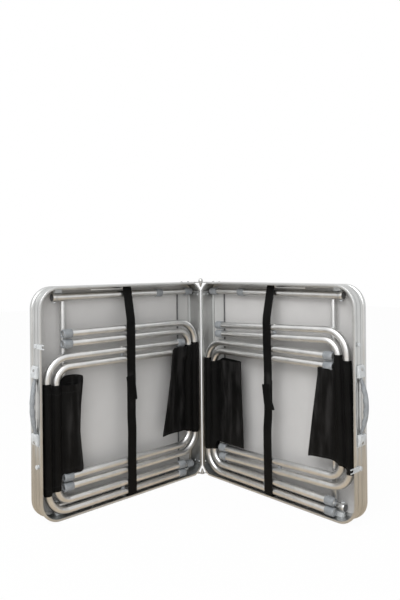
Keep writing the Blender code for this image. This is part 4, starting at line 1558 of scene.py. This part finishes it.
@dataclass
class Strap:
    """The webbing strap that holds the stools in a half: two lengths that overlap, and a loose tail."""

    half: CaseHalf
    tail_z: float
    tail_turn: float
    u: float = 0.267
    width: float = 0.030
    wall: float = 0.0062
    front: float = 0.0020
    back: float = 0.0220
    break_z: float = 0.4920
    bend: float = 0.0042
    lap_z: float = 0.300
    lap: float = 0.030
    lap_dip: float = 0.0034
    lap_slope: float = 0.040
    layer_gap: float = 0.0004
    clear_low: float = 0.190
    clear_high: float = 0.410
    foot_d: float = 0.020
    cup: float = 0.0004
    sway: float = 0.0010
    sway_turns: float = 17
    tail: float = 0.072
    tail_flare: float = 0.22
    tail_lift: float = 0.0006
    cloth: float = 0.0012

    @property
    def layer(self) -> float:
        """The distance from one layer of webbing to the next."""
        return self.cloth + self.layer_gap

    def level(self, z: float) -> float:
        """The place along the spine at a height above the floor."""
        return self.half.height - z if self.half.side is Side.LEFT else z

    def hold(self, piece: Piece, top: bool) -> None:
        """Give a length of webbing its own mesh.

        Args:
            piece: the webbing.
            top: whether it is fixed at the top.
        """
        half = self.half
        anchor = half.place @ Vector((self.u, self.front, self.level(half.height if top else 0.0)))
        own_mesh(piece)

    def lay_line(self, name: str, line: Sequence[Point], top: bool) -> None:
        """Lay webbing along a line of depth and height.

        Args:
            name: the piece's name.
            line: points of depth and height.
            top: whether it is fixed at the top.
        """
        half, points = self.half, [Vector(point) for point in line]
        lengths = lengths_along(line, math.dist)
        phase = 0 if half.side is Side.LEFT else 2

        def lay(along: float, across: float) -> Point:
            """Lay one point of the sheet.

            Args:
                along: the share of the way along the wrap.
                across: the share of the way across it.

            Returns:
                Its place.
            """
            d, z = point_along(points, lengths, along)
            cup = self.cup * (2 * across - 1) ** 2
            sway = self.sway * math.sin(z * self.sway_turns + phase)
            return (self.u + sway + self.width * (across - 0.5), d + cup, self.level(z))

        cloth = Cloth(name, 72, 8, lay)
        cloth.map(lambda along, across: (lengths[-1] * along, self.width * (across - 0.5)))
        piece = cloth.finish(half.place, self.cloth)
        half.shop.fit(piece, Finish.WEBBING, half.body, *([f"{half.name}_strap"] if top else []))
        self.hold(piece, top)

    def build_tail(self) -> None:
        """The loose end of the upper length, turned a little on the strap and flared at its lower corner."""
        half, length, width = self.half, self.tail, self.width
        turn, flare = math.radians(self.tail_turn), self.tail_flare if self.tail_turn > 0 else 0.0

        def lay(along: float, across: float) -> Point:
            """Lay one point of the sheet.

            Args:
                along: the share of the way along the wrap.
                across: the share of the way across it.

            Returns:
                Its place.
            """
            wide = width * (1 + flare * smooth(0.45, 1.0, along))
            down, out = length * (along - 0.5), wide * across - width / 2
            u = self.u + out * math.cos(turn) + down * math.sin(turn)
            z = self.tail_z - length / 2 - down * math.cos(turn) + out * math.sin(turn)
            lift = 2 * self.layer + self.tail_lift * math.sin(math.pi * along) * (0.5 + across)
            return (u, self.front + self.lap_dip - lift, self.level(z))

        cloth = Cloth(f"{half.name}_strap_tail", 20, 8, lay)
        cloth.map(lambda along, across: (length * along, width * (across - 0.5)))
        piece = cloth.finish(half.place, self.cloth)
        half.shop.fit(piece, Finish.WEBBING, half.body)
        self.hold(piece, True)

    def build(self) -> None:
        """Make both lengths and the tail."""
        low, top = self.wall, self.half.height - self.wall
        curve = []
        for i in range(6):
            angle = math.radians(180 + 18 * i)
            z = low + self.bend + self.bend * math.cos(angle)
            curve.append((self.front + self.bend + self.bend * math.sin(angle), z))
        dip, over = self.front + self.lap_dip, self.front + self.lap_dip - self.layer
        lower = [
            (self.foot_d, low),
            *curve,
            (self.front, self.clear_low),
            (dip, self.clear_low + self.lap_slope),
            (dip, self.lap_z + self.lap),
        ]
        upper = [
            (self.back + 0.014, top),
            (self.back + self.bend, top),
            (self.back + 0.0012, top - 0.0012),
            (self.back, top - self.bend),
            (self.front + 0.0022, self.break_z + 0.016),
            (self.front + 0.0006, self.break_z + 0.006),
            (self.front, self.break_z - 0.006),
            (self.front, self.clear_high),
            (over, self.clear_high - self.lap_slope),
            (over, self.lap_z),
        ]
        self.lay_line(f"{self.half.name}_strap_lower", lower, False)
        self.lay_line(f"{self.half.name}_strap_upper", upper, True)
        self.build_tail()


# ---------------------------------------------------------------- the whole


@dataclass
class Table:
    """The whole table: both halves, with their legs, handles, straps and stools."""

    shop: Workshop
    spine: Vector
    width: float
    height: float
    spine_berth: float = 0.018
    outer_inset: float = 0.025
    lower_stool: float = 0.2175
    upper_stool: float = 0.2775
    pin_seat: float = 0.003
    pin_dome: Steps = (
        (0.0006, 0.0110), (0.0030, 0.0106), (0.0052, 0.0090), (0.0068, 0.0062),
        (0.0075, 0.0030), (0.0072, 0.0006), (0.0060, 0.0002), (0.0025, 0.0002),
    )
    pin_tail: Steps = ((0.0025, 0.0), (0.0050, 0.0), (0.0046, -0.0020), (0.0020, -0.0120), (0.0004, -0.0126))

    def half(self, side: Side) -> CaseHalf:
        """One half of the case, in its place.

        Args:
            side: which half.

        Returns:
            The half, not yet built.
        """
        if side is Side.RIGHT:
            place = axes((0, -1, 0), (1, 0, 0), (0, 0, 1), self.spine)
        else:
            top = self.spine + Vector((0, 0, self.height))
            place = axes((-1, 0, 0), (0, 1, 0), (0, 0, -1), top)
        return CaseHalf(side, self.shop, place, self.width, self.height)

    def stools(self, left: CaseHalf, right: CaseHalf) -> list[Stool]:
        """The four stools where they are stowed.

        Args:
            left: the left half.
            right: the right half.

        Returns:
            The stools, not yet built.
        """
        outer, inner = self.width - self.outer_inset, self.spine_berth
        low, high, flip = self.lower_stool, self.upper_stool, self.height
        return [
            Stool(
                "left_outer", left, outer, flip - low, turned=True, tilt=0.0,
                fold=((-0.13, 0.102), (-0.02, 0.093), (0.06, 0.096), (0.134, 0.103)),
                roll=0.017, over_foot=False,
                outer_reach=(-0.148, 0.136), inner_reach=(-0.142, 0.130), free_end=0.150, mouth=0.024,
            ),
            Stool(
                "left_spine", left, inner, flip - high, turned=False, tilt=0.0,
                fold=((-0.139, 0.095), (-0.046, 0.104), (0.055, 0.121), (0.133, 0.137)),
                roll=0.006, over_foot=True,
                outer_reach=(-0.136, 0.144), inner_reach=(-0.130, 0.136), free_end=0.1335, mouth=0.004,
            ),
            Stool(
                "right_outer", right, outer, high, turned=True, tilt=-2.0,
                fold=((-0.105, 0.085), (0.006, 0.105), (0.133, 0.126)),
                roll=0.006, over_foot=False,
                outer_reach=(-0.125, 0.158), inner_reach=(-0.138, 0.140), free_end=0.1335, mouth=0.004,
            ),
            Stool(
                "right_spine", right, inner, low, turned=False, tilt=0.0,
                fold=((-0.10, 0.155), (0.04, 0.149), (0.134, 0.147)),
                roll=0.007, over_foot=False,
                outer_reach=(-0.136, 0.148), inner_reach=(-0.130, 0.140), free_end=0.152, mouth=0.005,
            ),
        ]

    def build_pin(self) -> None:
        """The upper hinge pin: a turned dome over the leaves and a pointed tail below them."""
        top, place = self.height, Matrix.Translation((self.spine.x, self.spine.y, 0))
        profile = rings(0, top, self.pin_dome) + rings(0, top - self.pin_seat, self.pin_tail)
        node = "hinge_pin_upper"
        self.shop.turn("hinge_stud", profile, place, Finish.STEEL, "left_case", node, corners=28, angle=40)

    def finish_packed(self, nodes: dict[str, Piece]) -> None:
        """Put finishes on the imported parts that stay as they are.

        Args:
            nodes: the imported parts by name.
        """
        words = {
            "top_panel": Finish.PANEL,
            "panel_brace": Finish.BRACE,
            "hinge": Finish.STEEL,
            "leg_bracket": Finish.BRACKET,
            "latch": Finish.BRACKET,
        }
        for name, node in nodes.items():
            for word, finish in words.items():
                if word in name:
                    self.shop.paint(node, finish)

    def build(self, nodes: dict[str, Piece]) -> None:
        """Build every sub-assembly in order.

        Args:
            nodes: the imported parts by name.
        """
        left, right = self.half(Side.LEFT), self.half(Side.RIGHT)
        for half in (left, right):
            half.build()
            LegFrame(half).build()
        Handle(left, rest=-30.0).build()
        Handle(right, rest=15.0).build()
        Strap(left, tail_z=0.343, tail_turn=-7.0).build()
        Strap(right, tail_z=0.317, tail_turn=8.0).build()
        for stool in self.stools(left, right):
            stool.build()
        self.build_pin()
        self.finish_packed(nodes)


@dataclass
class Studio:
    """The floor, light, background and camera."""

    spine: Vector
    heading: float = 47.063
    roll: float = -0.534
    back_off: Triple = (-1.2474, -1.3384, 0.648)
    focal_pixels: float = 584.1
    image_height: int = 600
    sensor: float = 36.0
    shift: float = -0.0557
    farthest: float = 60.0
    floor_size: float = 14.0
    floor_drop: float = 0.0002
    floor_colour: Colour = (0.86, 0.855, 0.845)
    floor_white: float = 0.965
    soft_light: float = 0.54
    lamp_target: Triple = (-0.25, -0.25, 0.30)
    card_target: Triple = (-0.25, -0.25, 0.25)
    warm_card: Triple = (-0.75, -0.75, 0.002)

    def build_camera(self) -> None:
        """The camera, at the photograph's angle and framing."""
        angle, roll = math.radians(self.heading), math.radians(self.roll)
        forward, up = Vector((math.cos(angle), math.sin(angle), 0)), Vector((0, 0, 1))
        right = forward.cross(up)
        across = right * math.cos(roll) + up * math.sin(roll)
        upward = up * math.cos(roll) - right * math.sin(roll)
        data = bpy.data.cameras.new("camera")
        data.sensor_fit = "VERTICAL"
        data.sensor_height = self.sensor
        data.lens = self.focal_pixels / self.image_height * self.sensor
        data.shift_y = self.shift
        data.clip_end = self.farthest
        camera = bpy.data.objects.new("camera", data)
        camera.matrix_world = axes(across, upward, -forward, self.spine + Vector(self.back_off))
        bpy.context.scene.collection.objects.link(camera)
        bpy.context.scene.camera = camera

    def plane(self, name: str, size: float, place: Point) -> Piece:
        """Add a level square to the studio.

        Args:
            name: the square's name.
            size: its side.
            place: its middle.

        Returns:
            The square.
        """
        bpy.ops.object.select_all(action="DESELECT")
        bpy.ops.mesh.primitive_plane_add(size=size, location=tuple(place))
        square = bpy.context.object
        square.name = name
        return square

    def build_floor(self) -> None:
        """A pale floor that shows white to the camera and to mirrors, and keeps the object's shadow."""
        floor = self.plane("floor", self.floor_size, (self.spine.x, self.spine.y, -self.floor_drop))
        graph = Graph.of_material("floor_pale")
        graph.dress(Base_Color=self.floor_colour, Roughness=0.9, Specular_IOR_Level=0.1)
        pale = graph.tree.nodes["Principled BSDF"]
        graph.send(graph.both(graph.seen() * self.floor_white, pale, graph.glow(WHITE)))
        floor.data.materials.append(graph.owner)

    def build_card(self, name: str, place: Point, size: Point, target: Point, colour: Colour) -> None:
        """A card beside the camera that only mirrors see.

        Args:
            name: the card's name.
            place: its middle.
            size: its width and height.
            target: what it faces.
            colour: its colour.
        """
        card = self.plane(name, 1.0, place)
        card.scale = (*size, 1.0)
        way = Vector(target) - Vector(place)
        card.rotation_euler = way.to_track_quat("Z", "Y").to_euler()
        graph = Graph.of_material(name)
        graph.send(graph.glow(colour))
        card.data.materials.append(graph.owner)
        card.visible_camera = card.visible_diffuse = card.visible_shadow = False
        card.visible_transmission = False

    def build_lamp(self, name: str, place: Point, size: float, power: float) -> None:
        """A soft square lamp facing the object.

        Args:
            name: the lamp's name.
            place: its place, from its target.
            size: its side.
            power: its power in watts.
        """
        data = bpy.data.lights.new(name, "AREA")
        data.size = size
        data.energy = power
        lamp = bpy.data.objects.new(name, data)
        lamp.location = self.spine + Vector(self.lamp_target) + Vector(place)
        lamp.rotation_euler = (-Vector(place)).to_track_quat("-Z", "Y").to_euler()
        bpy.context.scene.collection.objects.link(lamp)

    def build_world(self) -> None:
        """A white background for the camera and for mirrors, and a plain soft light for the rest."""
        graph = Graph(bpy.data.worlds.new("studio"))
        plain = graph.tree.nodes["Background"]
        graph.feed(plain.inputs["Color"], WHITE)
        graph.feed(plain.inputs["Strength"], self.soft_light)
        white = graph.node("ShaderNodeBackground", None, {"Color": WHITE})
        graph.send(graph.both(graph.seen(), plain, white))
        bpy.context.scene.world = graph.owner

    def build(self) -> None:
        """Set up the studio."""
        bpy.context.scene.view_settings.view_transform = "Standard"
        self.build_world()
        self.build_floor()
        self.build_camera()
        self.build_lamp("key_lamp", (-2.3, -0.7, 3.0), size=2.4, power=84)
        self.build_lamp("fill_lamp", (-1.9, -1.9, 1.4), size=2.0, power=26)
        target, low = self.spine + Vector(self.card_target), self.spine + Vector(self.warm_card)
        self.build_card("dark_card", target + Vector((-2.2, -2.4, 0.9)), (3.4, 1.0), target, srgb(84, 84, 86))
        self.build_card("warm_card", low, (2.6, 2.6), low + Vector((0, 0, 1)), srgb(212, 196, 174))


def main() -> None:
    """Dress the table and set up the studio."""
    logging.basicConfig(level=logging.INFO, format="%(message)s")
    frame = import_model()
    pin_low, pin_high = (Vector(corner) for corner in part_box("hinge_pin_upper"))
    rim_low, rim_high = (Vector(corner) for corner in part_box("right_case_rim"))
    middle = (pin_low + pin_high) / 2
    spine = Vector((middle.x, middle.y, 0.0))
    Studio(spine).build()
    shop = Workshop(make_finishes())
    Table(shop, spine, spine.y - rim_low.y, rim_high.z).build(frame["nodes"])


if __name__ == "__main__":
    main()
